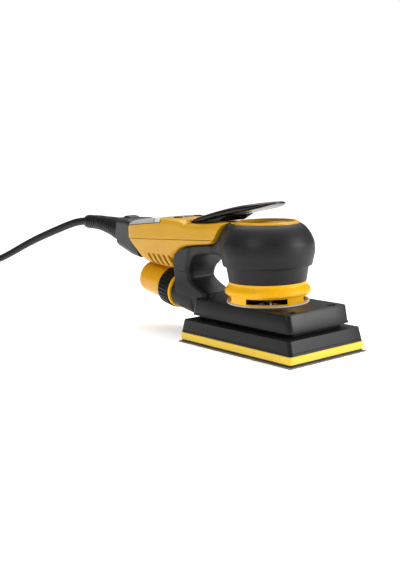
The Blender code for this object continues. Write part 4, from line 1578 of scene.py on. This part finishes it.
@dataclass
class Cable:
    """The cable end behind the tail: its body, latch and ribbed boot."""

    body: Sequence[tuple[float, ...]] = (
        (-157.0, 19.6, 25.0, 56.5), (-167.2, 19.0, 26.0, 58.0), (-182.0, 16.8, 28.8, 60.0),
        (-200.0, 13.6, 32.4, 59.8), (-212.0, 11.6, 35.5, 59.2), (-216.4, 10.9, 37.0, 58.9),
        (-217.2, 10.3, 37.7, 58.3))
    boot: Sequence[tuple[float, ...]] = (
        (-201.4, 46.2, 13.4, 13.3), (-206.0, 46.9, 12.6, 12.4), (-212.0, 47.4, 11.8, 11.5),
        (-218.0, 48.1, 10.7, 10.6), (-224.0, 49.2, 9.8, 9.8), (-233.0, 50.3, 8.8, 8.8),
        (-243.0, 51.3, 7.9, 7.9), (-252.0, 52.1, 7.4, 7.4), (-264.0, 52.2, 7.0, 7.0),
        (-273.5, 52.1, 7.0, 7.0), (-275.1, 52.0, 5.6, 5.6))
    rib: float = 4.55
    groove: float = 1.6

    def shell(self, tail: Tail) -> None:
        """The grey cable end, cut to the slope of the tail, with a pocket cut into its top.

        Args:
            tail: The tail that it meets.
        """
        rows = flow(self.body, 50)
        body = Solid.skin([across(x, half, DECK + low, DECK + high, (5.0, 5.0), (5.5, 4.5))
                           for x, half, low, high in rows])
        slope = Solid.skin([across(x - 2 * GAP, half + 2, DECK + low - GAP, DECK + 60, (7, 7), (0.8, 0.8))
                            for x, half, low in flow(tail.lower[:7], 24)])
        rear = tail.upper[0][0] - GAP
        body.combine([slope, Solid.box((rear, -30, DECK + seam(rear) - 2), (rear + 30, 30, DECK + 75)),
                      Solid.box((-201.0, -6.5, DECK + 56), (-186.5, 6.5, DECK + 64))])
        body.combine([Solid.box((-230.0, -30, DECK + 20), (-201.0, 30, DECK + 70))])
        body.finish("cable_end", Body.HOUSING, GREY, ["cable_plug"], soft=0.25, angle=32)

    def catch(self) -> None:
        """The release catch: a ribbed thumb piece."""
        low, high = (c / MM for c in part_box("plug_latch"))
        rows = [(low.x, 5.2, high.z - 2.6), (low.x + 1.0, 5.8, high.z - 1.2), (low.x + 4.0, 6.0, high.z),
                (high.x - 3.0, 6.0, high.z - 0.3), (high.x, 5.6, high.z - 1.4)]
        catch = Solid.skin([across(x, half, low.z, top, (0.5, 0.5), (1.6, 0.8))
                            for x, half, top in flow(rows, 20)])
        ribs = [Solid.box((low.x + 3.2 + 1.8 * k, -7, high.z - 0.5), (low.x + 3.9 + 1.8 * k, 7, high.z + 1))
                for k in range(4)]
        catch.combine(ribs)
        catch.finish("release_catch", Body.LATCH, SATIN, ["plug_latch"])

    def sleeve(self) -> None:
        """The boot: a tapering rubber sleeve with ribs round it."""
        rings = []
        smooth = flow(self.boot, 260)
        for x, z, tall, wide in smooth:
            along = self.boot[0][0] - x
            phase = (along % self.rib) / self.rib
            cut = 0.0
            if 2.5 < along < 68.5:
                cut = self.groove * max(0.0, math.sin(phase * 2 * math.pi)) ** 0.6
            rings.append([(x, (wide - cut) * math.cos(2 * math.pi * k / 56),
                           DECK + z + (tall - cut) * math.sin(2 * math.pi * k / 56)) for k in range(56)])
        Solid.skin(rings).finish("ribbed_boot", Body.HOUSING, BOOT, ["cord_boot"], angle=50)

    def build(self, tail: Tail) -> None:
        """Make the cable end, its catch and the boot.

        Args:
            tail: The tail that it meets.
        """
        self.shell(tail)
        self.catch()
        self.sleeve()


@dataclass
class Port:
    """The dust port: its ring, the ribbed lock collar and the hose tube."""

    tube_r: float = 15.0
    bore: float = 12.8
    start: float = 2.9
    collar_l: float = 14.0
    tube_l: float = 46.8
    ribs: int = 30

    def aim(self, shape: Solid) -> Solid:
        """Turn a shape made on Z to the port's axis."""
        return shape.put(PORT_PLACE, PORT_TURN, "Y")

    def build(self) -> None:
        """Make the three turned pieces."""
        ring = Solid.lathe([(13.0, 2.6), (16.4, 2.6), (16.9, 2.2), (16.9, 0.4), (16.5, 0.0), (13.0, 0.0)], 96)
        self.aim(ring).finish("port_band", Body.HOUSING, YELLOW, ["port_ring"])
        a, b, out = self.start, self.start + self.collar_l, self.tube_r + 2.9
        collar = Solid.lathe([(out - 2.4, b), (out - 0.9, b), (out - 0.2, b - 0.6), (out, b - 1.6),
                              (out, a + 1.6), (out - 0.2, a + 0.6), (out - 0.9, a), (out - 2.5, a)], 176)
        grooves = []
        for k in range(self.ribs):
            angle = 2 * math.pi * k / self.ribs
            groove = Solid.rod(1.0, a + 1.2, b - 1.2, 8)
            grooves.append(groove.put(((out + 0.1) * math.cos(angle), (out + 0.1) * math.sin(angle), 0)))
        both = grooves[0]
        for other in grooves[1:]:
            extra = bpy.data.meshes.new("spare")
            other.mesh.to_mesh(extra)
            both.mesh.from_mesh(extra)
            bpy.data.meshes.remove(extra)
        collar.combine([both])
        self.aim(collar).finish("lock_ring", Body.COLLAR, SATIN, ["lock_collar"], angle=30)
        a, b, r = self.start, self.start + self.tube_l, self.tube_r
        tube = Solid.lathe([(self.bore, b), (r - 0.5, b), (r, b - 0.5), (r, b - 5.0),
                            (r - 0.35, b - 5.4), (r - 0.35, b - 6.2), (r, b - 6.6), (r, a + 0.4),
                            (r - 0.4, a), (self.bore, a)], 96)
        self.aim(tube).finish("hose_spout", Body.TUBE, TUBE_AMBER, ["hose_tube"], angle=30)


def dress_frame() -> None:
    """Give every node that stays on show its own finish."""
    looks = {
        "steel": STEEL, "alloy": ALLOY, "copper": COPPER, "chrome": CHROME, "board": BOARD, "rubber": CORD,
        "black": SATIN, "grey": GREY, "pale": PALE, "grip": GRIP, "amber": AMBER, "yellow": YELLOW,
    }
    special = {"fan": SATIN, "shroud_seal": CORD, "cable_socket": SATIN, "lever_pin": AMBER}
    for name, node in frame["nodes"].items():
        known = ""
        if node.data.materials and node.data.materials[0]:
            known = node.data.materials[0].name.split(".")[0]
        look = special.get(name) or looks.get(known, STEEL)
        if not node.data.materials:
            node.data.materials.append(look.material())
        for slot in node.material_slots:
            slot.material = look.material()


def main() -> None:
    """Build the stage, then each sub-assembly."""
    logging.basicConfig(level=logging.INFO, format="%(message)s")
    Stage().set()
    Lead().build()
    dress_frame()
    Pad().build()
    Cover().build()
    tail = Tail()
    tail.build()
    Lever().build()
    Cable().build(tail)
    Port().build()


if __name__ == "__main__":
    main()
